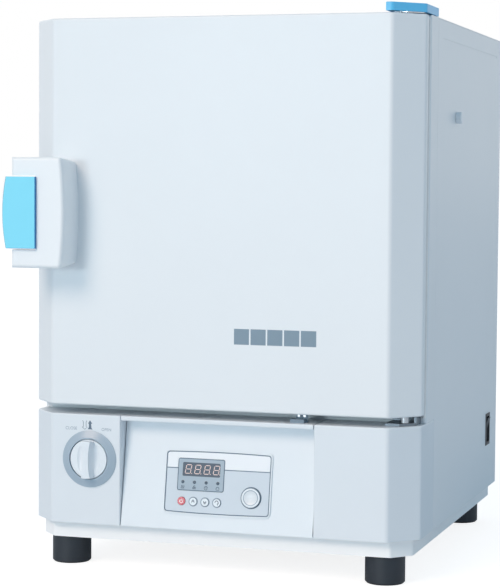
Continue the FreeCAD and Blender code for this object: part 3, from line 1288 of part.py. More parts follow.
def upper_hinge():
    """The upper hinge plate on the frame's top, with the pin that stands down into the door."""
    x0 = HALF - CAP_WIDTH + BRACKET_MARGIN
    x1 = HALF - BRACKET_MARGIN
    step = CHAMFER_Y - BRACKET_FRONT
    outline = [(x0, BRACKET_FRONT), (x1 - step, BRACKET_FRONT), (x1, CHAMFER_Y),
               (x1, CAP_REAR - 2 * BRACKET_MARGIN), (x0, CAP_REAR - 2 * BRACKET_MARGIN)]
    plate = upright(outline, BODY_TOP, BODY_TOP + BRACKET_WALL)
    pin_bottom = DOOR_TOP - BUSH_LENGTH
    pin = rod(PIVOT_X, PIVOT_Y, pin_bottom, Z_AXIS, PIN_RADIUS, BODY_TOP + BRACKET_WALL - pin_bottom)
    return fused(plate, pin)


def lower_hinge():
    """The lower hinge angle on the housing's top, with the pin that stands up into the door."""
    x0 = HALF - CAP_WIDTH
    x1 = HALF - 2 * BRACKET_MARGIN
    step = CHAMFER_Y - BRACKET_FRONT
    outline = [(x0, BRACKET_FRONT), (x1 - step, BRACKET_FRONT), (x1, CHAMFER_Y),
               (x1, FRAME_FRONT), (x0, FRAME_FRONT)]
    plate = upright(outline, LOW_BRACKET_BOTTOM, LOW_BRACKET_TOP)
    leg = block(x0, x1, FRAME_FRONT - BRACKET_WALL, FRAME_FRONT, LOW_BRACKET_BOTTOM, DOOR_BOTTOM - 1)
    side = block(x1 - BRACKET_WALL, x1, CHAMFER_Y, FRAME_FRONT, LOW_BRACKET_BOTTOM, DOOR_BOTTOM - 1)
    pin_top = DOOR_BOTTOM + BUSH_LENGTH
    pin = rod(PIVOT_X, PIVOT_Y, LOW_BRACKET_BOTTOM, Z_AXIS, PIN_RADIUS, pin_top - LOW_BRACKET_BOTTOM)
    return fused(plate, leg, side, pin)


def cap_block(inset, z0, z1):
    """The hinge cap's outline, moved inwards by inset."""
    leg_x, leg_y = chamfer_inset(CHAMFER_X, CHAMFER_Y, inset)
    x0 = HALF - CAP_WIDTH + inset
    x1 = HALF - inset
    y0 = inset
    outline = [(x0, y0), (x1 - leg_x, y0), (x1, y0 + leg_y), (x1, CAP_REAR - inset), (x0, CAP_REAR - inset)]
    return upright(outline, z0, z1)


def hinge_cap():
    """The coloured cap over the upper hinge, which follows the door's chamfered corner."""
    cap = cap_block(0, CAP_BOTTOM, CAP_TOP)
    corner = HALF - CHAMFER_X
    turned = edges_where(cap, lambda b: is_upright(b) and b.XMin > corner - 0.01 and b.YMax < CAP_REAR - 1)
    cap = cap.makeFillet(CORNER_RADIUS * 0.7, turned)
    rim = edges_where(cap, lambda b: b.ZMin > CAP_TOP - 0.01)
    cap = cap.makeFillet(CAP_EDGE, rim)
    cap = cap.cut(cap_block(CAP_WALL, CAP_BOTTOM - 1, CAP_TOP - CAP_WALL))
    seat = block(HALF - CAP_WIDTH + 8, HALF - 8, FRAME_FRONT + 6, CAP_REAR - 10,
                 BODY_TOP + BRACKET_WALL, CAP_TOP - CAP_WALL + 0.5)
    return fused(cap, seat)


def door_buffer():
    """The small buffer under the door, on the console's top, with its screwed tab."""
    back = BUFFER_FRONT + BUFFER_DEPTH
    base = block(BUFFER_X - BUFFER_WIDTH / 2, BUFFER_X + BUFFER_WIDTH / 2, BUFFER_FRONT, back,
                 HOUSING_TOP, HOUSING_TOP + BUFFER_HEIGHT)
    x = BUFFER_X + BUFFER_TAB_SHIFT
    top = DOOR_BOTTOM - BUFFER_TAB_TOP_GAP
    front = back - BUFFER_TAB_WALL
    tab = block(x - BUFFER_TAB_WIDTH / 2, x + BUFFER_TAB_WIDTH / 2, front, back, HOUSING_TOP, top)
    heads = []
    for side in (-1, 1):
        head_x = x + side * BUFFER_SCREW_PITCH / 2
        head = rod(head_x, front - BUFFER_SCREW_HEAD, top - BUFFER_SCREW_DROP, Y_AXIS,
                   BUFFER_SCREW_RADIUS, BUFFER_SCREW_HEAD)
        heads.append(head)
    return fused(base, tab, *heads)


def door_shell():
    """The door's outer skin: front, chamfered corners, sides, top and bottom."""
    legs = (CHAMFER_X, CHAMFER_Y)
    outer = chamfered_block(HALF, 0, DOOR_DEPTH, legs, 0, DOOR_BOTTOM, DOOR_TOP, CORNER_RADIUS)
    rims = edges_where(outer, lambda b: b.ZLength < 0.01 and b.YMin < DOOR_DEPTH - 0.01)
    outer = outer.makeFillet(DOOR_EDGE_RADIUS, rims)
    wall = PANEL_WALL
    inner = chamfered_block(HALF, 0, DOOR_DEPTH + 1, legs, wall, DOOR_BOTTOM + wall, DOOR_TOP - wall,
                            CORNER_RADIUS - wall)
    inner_rims = edges_where(inner, lambda b: b.ZLength < 0.01 and b.YMin < DOOR_DEPTH + 0.99)
    inner = inner.makeFillet(DOOR_EDGE_RADIUS - wall, inner_rims)
    shell = outer.cut(inner)
    shell = shell.cut(rod(PIVOT_X, PIVOT_Y, DOOR_BOTTOM - 1, Z_AXIS, COLLAR_RADIUS, wall + 2))
    shell = shell.cut(rod(PIVOT_X, PIVOT_Y, DOOR_TOP - wall - 1, Z_AXIS, COLLAR_RADIUS, wall + 2))
    return shell.cut(arm_slot(-1, wall + 1))


def arm_slot(y0, y1):
    """The slot in the door's front for the catch arm, hidden behind the handle's foot."""
    x0 = LEVER_PIN_X - ARM_WALL / 2 - 3.0
    x1 = LEVER_PIN_X + ARM_WALL / 2 + 2.0
    half = ARM_HEIGHT / 2 + ARM_SIDE_ROOM
    return block(x0, x1, y0, y1, HANDLE_CENTRE_Z - half, HANDLE_CENTRE_Z + half)


def magnet_span():
    """The x places of the catch magnet's two sides at rest."""
    right = LEVER_PIN_X - ARM_WALL / 2 - (ARM_REACH - MAGNET_WIDTH)
    return right - MAGNET_WIDTH, right


def plug_box(inset, y1):
    """The door liner's raised middle, which fills the chamber's mouth, moved inwards by inset."""
    side = CHAMBER_HALF - PLUG_MARGIN - inset
    z0 = CHAMBER_FLOOR + PLUG_MARGIN + inset
    z1 = CHAMBER_TOP - PLUG_MARGIN - inset
    return block(-side, side, DOOR_DEPTH - PANEL_WALL, y1, z0, z1)


def door_liner():
    """The door's inner panel, with its raised middle and the catch arm's slot."""
    side = HALF - PANEL_WALL - SEAM
    z0 = DOOR_BOTTOM + PANEL_WALL + SEAM
    z1 = DOOR_TOP - PANEL_WALL - SEAM
    sheet = block(-side, side, DOOR_DEPTH - PANEL_WALL, DOOR_DEPTH, z0, z1)
    sheet = sheet.makeFillet(DOOR_EDGE_RADIUS, edges_where(sheet, lambda b: b.XLength < 0.01 and
                                                           b.ZLength < 0.01))
    raised = plug_box(0, DOOR_DEPTH + PLUG_DEPTH)
    liner = fused(sheet, raised).cut(plug_box(CHAMBER_WALL, DOOR_DEPTH + PLUG_DEPTH - CHAMBER_WALL))
    left, right = magnet_span()
    half = ARM_HEIGHT / 2 + ARM_SIDE_ROOM
    slot = block(left - ARM_SWING, right + 2.0, DOOR_DEPTH - PANEL_WALL - 1, DOOR_DEPTH + 1,
                 HANDLE_CENTRE_Z - half, HANDLE_CENTRE_Z + half)
    return liner.cut(slot)


def door_insulation():
    """The mineral wool inside the door, with room for the hinge bushes and the catch arm."""
    legs = (CHAMFER_X, CHAMFER_Y)
    inset = PANEL_WALL + SEAM
    back = DOOR_DEPTH - PANEL_WALL - SEAM
    wool = chamfered_block(HALF, 0, back, legs, inset + 1, DOOR_BOTTOM + inset, DOOR_TOP - inset, 0)
    wool = wool.makeChamfer(3.0, edges_where(wool, lambda b: b.ZLength < 0.01 and b.YMin < back - 0.01
                                             and b.XLength > HALF))
    room = BUSH_RADIUS + 1
    wool = wool.cut(rod(PIVOT_X, PIVOT_Y, DOOR_BOTTOM, Z_AXIS, room, BUSH_LENGTH + 3))
    wool = wool.cut(rod(PIVOT_X, PIVOT_Y, DOOR_TOP - BUSH_LENGTH - 3, Z_AXIS, room, BUSH_LENGTH + 3))
    left, right = magnet_span()
    half = ARM_HEIGHT / 2 + ARM_SIDE_ROOM + 1
    wool = wool.cut(block(left - ARM_SWING - 6, LEVER_PIN_X + 6, -1, DOOR_DEPTH,
                          HANDLE_CENTRE_Z - half, HANDLE_CENTRE_Z + half))
    filling = plug_box(CHAMBER_WALL + SEAM, DOOR_DEPTH + PLUG_DEPTH - CHAMBER_WALL - SEAM)
    return wool.fuse(filling).removeSplitter()


def door_gasket():
    """The silicone gasket round the chamber's mouth, on the door liner."""
    low = GASKET_MARGIN
    high = GASKET_MARGIN + GASKET_WIDTH
    y1 = FRAME_FRONT - JOINT_GAP
    loops = []
    for reach, corner in ((high, GASKET_CORNER), (low, GASKET_CORNER - GASKET_WIDTH)):
        plate = rounded_plate(-CHAMBER_HALF - reach, CHAMBER_HALF + reach, CHAMBER_FLOOR - reach,
                              CHAMBER_TOP + reach, 0, y1 - DOOR_DEPTH, corner)
        plate.Placement = Placement(Vector(0, y1, 0), Rotation(X_AXIS, 90)).multiply(plate.Placement)
        loops.append(plate)
    return loops[0].cut(loops[1])


def door_bushes():
    """The two hinge bushes in the door, each with a collar that shows in the gap."""
    wall = PANEL_WALL
    low_body = rod(PIVOT_X, PIVOT_Y, DOOR_BOTTOM + wall, Z_AXIS, BUSH_RADIUS, BUSH_LENGTH)
    collar_z = LOW_BRACKET_TOP + JOINT_GAP
    low_collar = rod(PIVOT_X, PIVOT_Y, collar_z, Z_AXIS, COLLAR_RADIUS - SEAM, DOOR_BOTTOM + wall - collar_z)
    high_body = rod(PIVOT_X, PIVOT_Y, DOOR_TOP - wall - BUSH_LENGTH, Z_AXIS, BUSH_RADIUS, BUSH_LENGTH)
    high_collar = rod(PIVOT_X, PIVOT_Y, DOOR_TOP - wall, Z_AXIS, COLLAR_RADIUS - SEAM,
                      wall + DOOR_TOP_GAP - JOINT_GAP)
    bore = rod(PIVOT_X, PIVOT_Y, HOUSING_TOP, Z_AXIS, PIN_RADIUS + RUNNING, BODY_TOP - HOUSING_TOP)
    low = fused(low_body, low_collar).cut(bore)
    high = fused(high_body, high_collar).cut(bore)
    return Part.makeCompound([low, high])


def handle_outline():
    """The handle housing's plan: the front, the right side, the foot on the door and the wing."""
    right = -HALF + HANDLE_RIGHT_IN
    foot_left = -HALF + HANDLE_FOOT_IN
    wing_back = -HANDLE_DEPTH + HANDLE_WING
    return [(-HALF, -HANDLE_DEPTH), (right + 10, -HANDLE_DEPTH), (right + 10, 0), (foot_left, 0),
            (foot_left - 2, wing_back + 2), (-HALF, wing_back)]


def handle_side_profile():
    """Cuts the handle's top and bottom to a slight taper towards the door."""
    low = HANDLE_LOW
    high = HANDLE_HIGH
    outline = [(-HANDLE_DEPTH - 1, low - 0.1), (1, low + HANDLE_TAPER), (1, high - HANDLE_TAPER),
               (-HANDLE_DEPTH - 1, high + 0.1)]
    return crosswise(outline, -HALF - 20, -HALF + HANDLE_RIGHT_IN + 40)


def handle_front_profile():
    """Cuts the handle's right edge to a shallow outward curve."""
    right = -HALF + HANDLE_RIGHT_IN
    far = -HALF - 20
    low = Vector(right - HANDLE_BULGE, -HANDLE_DEPTH - 5, HANDLE_LOW - 5)
    middle = Vector(right, -HANDLE_DEPTH - 5, HANDLE_CENTRE_Z)
    high = Vector(right - HANDLE_BULGE, -HANDLE_DEPTH - 5, HANDLE_HIGH + 5)
    corner_high = Vector(far, -HANDLE_DEPTH - 5, HANDLE_HIGH + 5)
    corner_low = Vector(far, -HANDLE_DEPTH - 5, HANDLE_LOW - 5)
    edges = [Part.Arc(low, middle, high).toShape(), Part.makeLine(high, corner_high),
             Part.makeLine(corner_high, corner_low), Part.makeLine(corner_low, low)]
    return Part.Face(Part.Wire(edges)).extrude(Vector(0, HANDLE_DEPTH + 10, 0))


def handle_housing():
    """The handle's moulded housing: a foot on the door and a wing that stands off its chamfer."""
    body = upright(handle_outline(), HANDLE_LOW - 2, HANDLE_HIGH + 2)
    body = body.common(handle_side_profile()).common(handle_front_profile())
    side = -HALF + HANDLE_RIGHT_IN - 2 * HANDLE_BULGE
    corners = edges_where(body, lambda b: b.YLength > HANDLE_DEPTH / 2 and b.XMin > side)
    body = body.makeFillet(HANDLE_CORNER_RADIUS, corners)
    front = edges_where(body, lambda b: b.YMax < -HANDLE_DEPTH + 0.01)
    body = body.makeFillet(HANDLE_EDGE_RADIUS, front)
    wall = MOULDED_WALL
    foot_left = -HALF + HANDLE_FOOT_IN
    right = -HALF + HANDLE_RIGHT_IN - HANDLE_BULGE - wall
    hollow = block(foot_left + wall, right, -HANDLE_DEPTH + wall, 1, HANDLE_LOW + 2 * HANDLE_TAPER,
                   HANDLE_HIGH - 2 * HANDLE_TAPER)
    body = body.cut(hollow)
    z0 = LEVER_LOW - LEVER_GAP
    z1 = LEVER_HIGH + LEVER_GAP
    notch_right = -HALF + LEVER_RIGHT_IN - 1.0
    notch = block(-HALF - 5, notch_right, -HANDLE_DEPTH - 1, -HANDLE_DEPTH + HANDLE_WING + 6, z0, z1)
    behind = block(notch_right - 1, foot_left + wall + 1, -HANDLE_DEPTH + wall,
                   LEVER_PIN_Y + LEVER_HUB_RADIUS + 1, z0, z1)
    arm_half = ARM_HEIGHT / 2 + ARM_SIDE_ROOM
    pocket = block(foot_left + ARM_POCKET_SKIN, LEVER_PIN_X, LEVER_PIN_Y + LEVER_HUB_RADIUS, 1,
                   HANDLE_CENTRE_Z - arm_half, HANDLE_CENTRE_Z + arm_half)
    body = body.cut(notch).cut(behind).cut(pocket)
    webs = [block(foot_left, LEVER_PIN_X + 8, LEVER_PIN_Y - 10, LEVER_PIN_Y + 10, a, b)
            for a, b in ((z0 - 6, z0), (z1, z1 + 6))]
    body = fused(body, *webs)
    hole = rod(LEVER_PIN_X, LEVER_PIN_Y, z0 - 7, Z_AXIS, LEVER_PIN_RADIUS, z1 - z0 + 14)
    return body.cut(hole)


def lever_pin():
    """The lever's pin, held by the housing's two webs."""
    z0 = LEVER_LOW - LEVER_GAP - 6
    return rod(LEVER_PIN_X, LEVER_PIN_Y, z0, Z_AXIS, LEVER_PIN_RADIUS, LEVER_HEIGHT + 2 * LEVER_GAP + 12)


def lever_outline_block(left, x_right, y0, y1, z0, z1):
    """A block whose left edge arches outwards, as the lever and its cover do."""
    middle_z = (z0 + z1) / 2
    low = Vector(left, y0, z0)
    middle = Vector(left - LEVER_BULGE, y0, middle_z)
    high = Vector(left, y0, z1)
    corner_high = Vector(x_right, y0, z1)
    corner_low = Vector(x_right, y0, z0)
    edges = [Part.Arc(low, middle, high).toShape(), Part.makeLine(high, corner_high),
             Part.makeLine(corner_high, corner_low), Part.makeLine(corner_low, low)]
    return Part.Face(Part.Wire(edges)).extrude(Vector(0, y1 - y0, 0))


def latch_lever():
    """The pull lever: a paddle in the housing's notch, a neck and a hub on the pin."""
    neck_left = -HALF + LEVER_NECK_IN
    back = LEVER_FACE + LEVER_BACK
    paddle = lever_outline_block(-HALF - LEVER_OVERHANG, neck_left, LEVER_FACE, back, LEVER_LOW, LEVER_HIGH)
    grip = edges_where(paddle, lambda b: b.YMin > back - 0.01 and b.XMax < neck_left - 0.01)
    paddle = paddle.makeFillet(3.0, grip)
    neck_front = -HANDLE_DEPTH + MOULDED_WALL + LEVER_SKIN_GAP
    neck = block(neck_left - 2, LEVER_PIN_X + LEVER_HUB_RADIUS, neck_front, neck_front + LEVER_NECK,
                 LEVER_LOW, LEVER_HIGH)
    web = block(LEVER_PIN_X - LEVER_HUB_RADIUS, LEVER_PIN_X + LEVER_HUB_RADIUS, neck_front,
                LEVER_PIN_Y, LEVER_LOW, LEVER_HIGH)
    hub = rod(LEVER_PIN_X, LEVER_PIN_Y, LEVER_LOW, Z_AXIS, LEVER_HUB_RADIUS, LEVER_HEIGHT)
    lever = fused(paddle, neck, web, hub)
    bore = rod(LEVER_PIN_X, LEVER_PIN_Y, LEVER_LOW - 1, Z_AXIS, LEVER_PIN_RADIUS + RUNNING, LEVER_HEIGHT + 2)
    return lever.cut(bore)


def lever_cover():
    """The coloured cover on the lever's face, proud of the housing."""
    left = -HALF - LEVER_OVERHANG + LEVER_COVER_IN
    right = -HALF + LEVER_RIGHT_IN
    front = LEVER_FACE - LEVER_COVER
    cover = lever_outline_block(left, right, front, LEVER_FACE, LEVER_LOW, LEVER_HIGH)
    rim = edges_where(cover, lambda b: b.YMax < front + 0.01)
    return cover.makeFillet(0.8, rim)


def latch_arm():
    """The steel arm behind the lever's hub, and the catch magnet at its end."""
    half = ARM_HEIGHT / 2
    z0 = HANDLE_CENTRE_Z - half
    z1 = HANDLE_CENTRE_Z + half
    start = LEVER_PIN_Y + LEVER_HUB_RADIUS
    strip = block(LEVER_PIN_X - ARM_WALL / 2, LEVER_PIN_X + ARM_WALL / 2, start, ARM_JOG_Y + ARM_WALL, z0, z1)
    left, right = magnet_span()
    jog = block(left, LEVER_PIN_X + ARM_WALL / 2, ARM_JOG_Y, ARM_JOG_Y + ARM_WALL, z0, z1)
    magnet = block(left, right, ARM_JOG_Y + ARM_WALL, MAGNET_FACE, z0, z1)
    return Part.makeCompound([fused(strip, jog), magnet])


PIECES = {
    "feet": feet,
    "foot_bolts": foot_bolts,
    "base_tray": base_tray,
    "bottom_pan": bottom_pan,
    "left_fascia": left_fascia,
    "right_fascia": right_fascia,
    "console_insert": console_insert,
    "control_panel": control_panel,
    "display_window": display_window,
    "display_module": display_module,
    "control_board": control_board,
    "key_power": lambda: key(0),
    "key_up": lambda: key(1),
    "key_down": lambda: key(2),
    "key_enter": lambda: key(3),
    "start_button": start_button,
    "knob_ring": knob_ring,
    "vent_knob": vent_knob,
    "vent_shutter": vent_shutter,
    "vent_duct": vent_duct,
    "deck_plate": deck_plate,
    "left_side_panel": left_side_panel,
    "right_side_panel": right_side_panel,
    "top_cover": top_cover,
    "rear_panel": rear_panel,
    "rear_screws": rear_screws,
    "front_frame": front_frame,
    "inner_chamber": inner_chamber,
    "chamber_insulation": chamber_insulation,
    "air_baffle": air_baffle,
    "fan_impeller": fan_impeller,
    "fan_motor": fan_motor,
    "motor_bracket": motor_bracket,
    "heater_element": heater_element,
    "temperature_sensor": temperature_sensor,
    "exhaust_pipe": exhaust_pipe,
    "shelf_supports": shelf_supports,
    "lower_shelf": lower_shelf,
    "upper_shelf": upper_shelf,
    "port_sleeve": port_sleeve,
    "port_cap": port_cap,
    "mains_breaker": mains_breaker,
    "breaker_rocker": breaker_rocker,
    "mains_inlet": mains_inlet,
    "solid_state_relay": solid_state_relay,
    "upper_hinge": upper_hinge,
    "lower_hinge": lower_hinge,
    "hinge_cap": hinge_cap,
    "door_buffer": door_buffer,
    "door_shell": door_shell,
    "door_liner": door_liner,
    "door_insulation": door_insulation,
    "door_gasket": door_gasket,
    "door_bushes": door_bushes,
    "handle_housing": handle_housing,
    "lever_pin": lever_pin,
    "latch_lever": latch_lever,
    "lever_cover": lever_cover,
    "latch_arm": latch_arm,
}


def footprint_middle(shapes):
    """The middle of the whole oven's footprint, from the exact bounds of all its pieces."""
    bounds = [shape.optimalBoundingBox(False, False) for shape in shapes]
    x = (min(b.XMin for b in bounds) + max(b.XMax for b in bounds)) / 2
    y = (min(b.YMin for b in bounds) + max(b.YMax for b in bounds)) / 2
    return Vector(x, y, 0)


os.makedirs("parts", exist_ok=True)
shapes = {name: make() for name, make in PIECES.items()}
origin = footprint_middle(shapes.values())
for name, shape in shapes.items():
    shape.translate(-origin)
    shape.exportStep("parts/" + name + ".step")
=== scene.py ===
"""Bench-top drying oven: camera, light, finishes, and the fine printed and fitted pieces.

Everything is placed in metres in the oven's own frame: x to the right as seen from the front, y
from the door to the back, z up from the bench. Sizes of marks and fitted pieces are in millimetres.
"""

import json
import math

import bpy
import numpy as np
from mathutils import Matrix, Vector


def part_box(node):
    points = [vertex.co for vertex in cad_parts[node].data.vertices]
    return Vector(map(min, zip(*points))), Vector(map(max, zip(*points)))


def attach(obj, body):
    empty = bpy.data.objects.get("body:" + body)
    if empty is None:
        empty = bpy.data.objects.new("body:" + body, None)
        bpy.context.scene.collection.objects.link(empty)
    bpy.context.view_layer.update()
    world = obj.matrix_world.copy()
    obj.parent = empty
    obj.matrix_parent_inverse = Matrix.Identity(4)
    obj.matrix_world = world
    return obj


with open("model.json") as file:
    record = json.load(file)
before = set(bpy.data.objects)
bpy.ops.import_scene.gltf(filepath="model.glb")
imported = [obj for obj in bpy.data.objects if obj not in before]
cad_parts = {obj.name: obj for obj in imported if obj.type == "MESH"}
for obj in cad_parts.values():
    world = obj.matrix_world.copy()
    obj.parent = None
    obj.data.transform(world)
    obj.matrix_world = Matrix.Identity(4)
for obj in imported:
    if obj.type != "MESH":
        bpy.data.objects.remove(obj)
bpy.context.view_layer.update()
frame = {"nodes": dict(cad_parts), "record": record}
nodes = frame["nodes"]

MM = 0.001

# Places read from the solids
DOOR_LOW, DOOR_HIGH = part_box("door_shell")
MIDDLE_X = (DOOR_LOW.x + DOOR_HIGH.x) / 2
FRONT_Y = DOOR_LOW.y
RING_LOW, RING_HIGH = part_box("knob_ring")
KNOB_X = (RING_LOW.x + RING_HIGH.x) / 2
KNOB_Z = (RING_LOW.z + RING_HIGH.z) / 2

# The console's slope: how far its foot is set back, how far it leans back and how high it stands
SLOPE_SET = 0.5
SLOPE_LEAN = 20.5
SLOPE_HEIGHT = 126.0
SLOPE_FOOT_Y = FRONT_Y + SLOPE_SET * MM
SLOPE_FOOT_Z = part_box("console_insert")[0].z
SLOPE_ANGLE = math.atan2(SLOPE_LEAN, SLOPE_HEIGHT)

# Control panel, on the slope: x across from the middle, h up from the slope's foot
PANEL_X = (-65.5, 66.8)
PANEL_H = (21.3, 93.9)
PANEL_BULGE = 1.2
PANEL_CORNER = 4.0
LINE_WIDTH = 1.15
DIVIDER_H = 74.0
WINDOW_X = (-50.5, 8.7)
WINDOW_H = (47.2, 86.1)
WINDOW_CORNER = 2.5
WINDOW_BORDER = 0.95
WINDOW_FACE = 1.4
CLEAR_X = (-44.5, 3.4)
CLEAR_H = (64.6, 81.3)
CLEAR_CORNER = 1.6
DIGIT_COUNT = 4
DIGIT_X0 = -41.3
DIGIT_PITCH = 11.9
DIGIT_H0 = 67.9
DIGIT_WIDTH = 6.6
DIGIT_HEIGHT = 10.4
DIGIT_LEAN = 0.16
DIGIT_STROKE = 0.88
POINT_GAP = 1.7
POINT_RADIUS = 0.55
KEY_COUNT = 4
KEY_X0 = -43.9
KEY_PITCH = 15.0
KEY_H = 34.3
KEY_FACE = 2.2
KEY_EDGE = 4.5
KEY_RING = 5.9
KEY_STROKE = 0.75
START_AT = (43.8, 42.5)
START_RADIUS = 11.8
START_RING = 13.1
START_DISH = 8.9
START_SHADE_LINE = 0.9
START_WALL = 0.3
LAMP_X0 = KEY_X0 + 0.4
LAMP_PITCH = KEY_PITCH - 0.15
LAMP_H = 57.5
LAMP_DOME = ((2.0, -0.2), (2.0, 0.1), (1.6, 0.3), (0.6, 0.4))
SIGN_H = 51.2
SIGN_SIZE = 1.22
SIGN_STROKE = 0.7

# Ink: how far it stands on a face, how deep it is rooted there, and a printed tone's soft edge
INK_FACE = 0.06
INK_ROOT = 0.2
KEY_INK_ROOT = 0.15
FRONT_INK_ROOT = 0.1
BLUR = 0.25
WINDOW_ROOT = WINDOW_FACE - INK_ROOT
WINDOW_INK = WINDOW_FACE + INK_FACE

# Marks above the vent knob, from its middle: the arrows' points, and each word's place and size
ARROW_DOWN_LEFT = ((-9.2, 46.9), (-8.2, 44.9), (-8.2, 39.1), (-9.8, 39.1), (-6.4, 35.9))
ARROW_DOWN_STROKE = 0.6
ARROW_UP_X = 0.6
ARROW_UP_H = (36.2, 38.0, 43.2, 43.3, 47.3)
ARROW_UP_WIDTH = (6.6, 3.6, 2.8, 5.6, 0.2)
CLOSE_AT = (-24.1, 36.7)
CLOSE_SIZE = 5.2
OPEN_AT = (22.0, 36.6)
OPEN_SIZE = 5.0

# Bead on the frame's front edge: its back behind the door's front, its foot below the door's edge
BEAD_RADIUS = 2.4
BEAD_CORNER = 6.0
BEAD_BACK = 57.5
BEAD_FOOT = 4.0

# Depth of the rounding round the lever cover's face; the painted shade on its right and lower sides
# starts past it
COVER_EDGE = 0.45

# Two screws on the buffer's tab: in from its right end, down from its top, before its back
SCREW_IN = (3.5, 10.5)
SCREW_DOWN = 2.0
SCREW_RADIUS = 1.65
TAB_DEPTH = 3.02

# Printed squares on the door
SQUARE_X0 = 22.9
SQUARE_PITCH = 20.7
SQUARE_COUNT = 5
SQUARE_SIZE = 18.8
SQUARE_Z = (280.6, 299.4)

# Camera, fitted to the straight edges of the photograph
CAMERA_TARGET = Vector((MIDDLE_X - 5.06 * MM, FRONT_Y + 150.0 * MM, 332.05 * MM))
CAMERA_DISTANCE = 2460.16 * MM
CAMERA_YAW = math.radians(17.615)
CAMERA_PITCH = math.radians(3.342)
CAMERA_ROLL = math.radians(0.416)
CAMERA_LENS = 119.016
SENSOR_WIDTH = 36.0

# Light: a warm soft source high in front on the left, a level cooler one, and a glow all round
KEY_DIRECTION = (-0.42, -1.0, 0.76)
KEY_STRENGTH = 1.35
KEY_SPREAD = 28.0
KEY_COLOUR = (1.0, 0.775, 0.625)
FILL_DIRECTION = (-0.30, -1.0, 0.0)
FILL_STRENGTH = 0.88
FILL_SPREAD = 18.0
FILL_COLOUR = (0.79, 0.95, 1.01)
SKY_GLOW = (0.305, 0.424, 0.526, 1.0)
FLOOR_WHITE = 1.4
FLOOR_SHARE = 0.6
FLOOR_HALF = 40.0
FLOOR_TONE = (0.86, 0.87, 0.88)

# Edges of round pieces that turn by more degrees than this stay sharp
SHARP_TURN = 40


def srgb(red, green, blue):
    """The linear colour of a screen colour given from 0 to 255."""
    def channel(value):
        value = value / 255
        return value / 12.92 if value <= 0.04045 else ((value + 0.055) / 1.055) ** 2.4
    return channel(red), channel(green), channel(blue), 1.0


def shade(colour, factor):
    """A colour made darker or lighter, with its alpha kept at 1."""
    return tuple(min(1.0, channel * factor) for channel in colour[:3]) + (1.0,)


def add_node(tree, kind, settings=(), output=0, **sockets):
    """A shader node: its settings, then its sockets' values or signals, by name or as s0, s1."""
    made = tree.nodes.new("ShaderNode" + kind)
    for name, value in settings:
        setattr(made, name, value)
    for name, value in sockets.items():
        target = made.inputs[int(name[1:])] if name[1:].isdigit() else made.inputs[name]
        if isinstance(value, Signal):
            tree.links.new(value.socket, target)
        else:
            target.default_value = value
    return Signal(tree, made.outputs[output])


class Signal:
    """A shader socket that can be used in sums: each sum adds its own Math node."""

    def __init__(self, tree, socket):
        self.tree = tree
        self.socket = socket

    def math(self, operation, *others):
        """A Math node of this signal and others."""
        values = {"s" + str(index): value for index, value in enumerate((self, *others))}
        return add_node(self.tree, "Math", [("operation", operation)], **values)

    def __add__(self, other):
        return self.math("ADD", other)

    def __sub__(self, other):
        return self.math("SUBTRACT", other)

    def __rsub__(self, other):
        return self.math("MULTIPLY", -1.0) + other

    def __mul__(self, other):
        return self.math("MULTIPLY", other)

    __radd__ = __add__
    __rmul__ = __mul__

    def below(self, edge, blur=BLUR):
        """1 where the value is under the edge and 0 above it, with a step as wide as the blur."""
        ramp = (edge - self) * (1.0 / blur) + 0.5
        return ramp.math("MAXIMUM", 0.0).math("MINIMUM", 1.0)

    def between(self, low, high, blur):
        """1 between two edges and 0 outside them."""
        return self.below(high, blur) * (1.0 - self.below(low, blur))


class Finish:
    """A material with one Principled shader, and short ways to add to it."""

    def __init__(self, name, colour, roughness, **constants):
        self.material = bpy.data.materials.new(name)
        self.material.use_nodes = True
        self.tree = self.material.node_tree
        self.shader = self.tree.nodes["Principled BSDF"]
        self.shader.inputs["Base Color"].default_value = shade(colour, 1.0)
        self.shader.inputs["Roughness"].default_value = roughness
        for socket, value in constants.items():
            self.shader.inputs[socket.replace("_", " ").title()].default_value = value

    def node(self, kind, settings=(), output=0, **sockets):
        """A node in this material."""
        return add_node(self.tree, kind, settings, output, **sockets)

    def place(self):
        """The point on the piece, in metres."""
        return self.node("TexCoord", output=3)

    def axes(self):
        """The three coordinates of the point, in metres."""
        point = self.place()
        return [self.node("SeparateXYZ", output=index, Vector=point) for index in range(3)]

    def noise(self, scale, detail=2.0, stretch=(1.0, 1.0, 1.0)):
        """Soft noise from 0 to 1, with about this many blotches to a metre where unstretched."""
        point = self.node("Mapping", Vector=self.place(), Scale=stretch)
        return self.node("TexNoise", Vector=point, Scale=scale, Detail=detail)

    def mixed(self, factor, first, second):
        """A colour between two colours."""
        return self.node("Mix", [("data_type", "RGBA")], output=2, s0=factor, s6=first, s7=second)

    def feed(self, socket, signal):
        """Links a signal to the shader."""
        self.tree.links.new(signal.socket, self.shader.inputs[socket])

    def bump(self, height, distance):
        """Relief of a given depth in metres from a height between 0 and 1."""
        self.feed("Normal", self.node("Bump", Height=height, Distance=distance))


# Tones of the enamel, the prints, the painted shade on the lever cover and start button, and the
# heater's tints
WHITE = srgb(232, 238, 242)
PANEL_PALE = srgb(238, 244, 249)
PANEL_GREY = srgb(206, 218, 228)
PANEL_LINE = srgb(90, 114, 134)
KEY_GREY = srgb(140, 158, 175)
# Grey of the painted shade line at the start button's dish edge, and of its side wall
START_GREY = srgb(128, 148, 166)
WINDOW_GREY = srgb(162, 180, 194)
WINDOW_LINE = srgb(88, 112, 132)
WINDOW_DARK = srgb(62, 80, 98)
SQUARE_GREY = srgb(120, 143, 160)
# Darker blue painted on the lever cover's right and lower sides as their shade
COVER_SHADE_BLUE = srgb(30, 125, 190)
SCREW_BRIGHT = (0.85, 0.87, 0.90, 1.0)
STRAW_TINT = (0.16, 0.13, 0.11, 1.0)
BLUE_TINT = (0.30, 0.31, 0.36, 1.0)


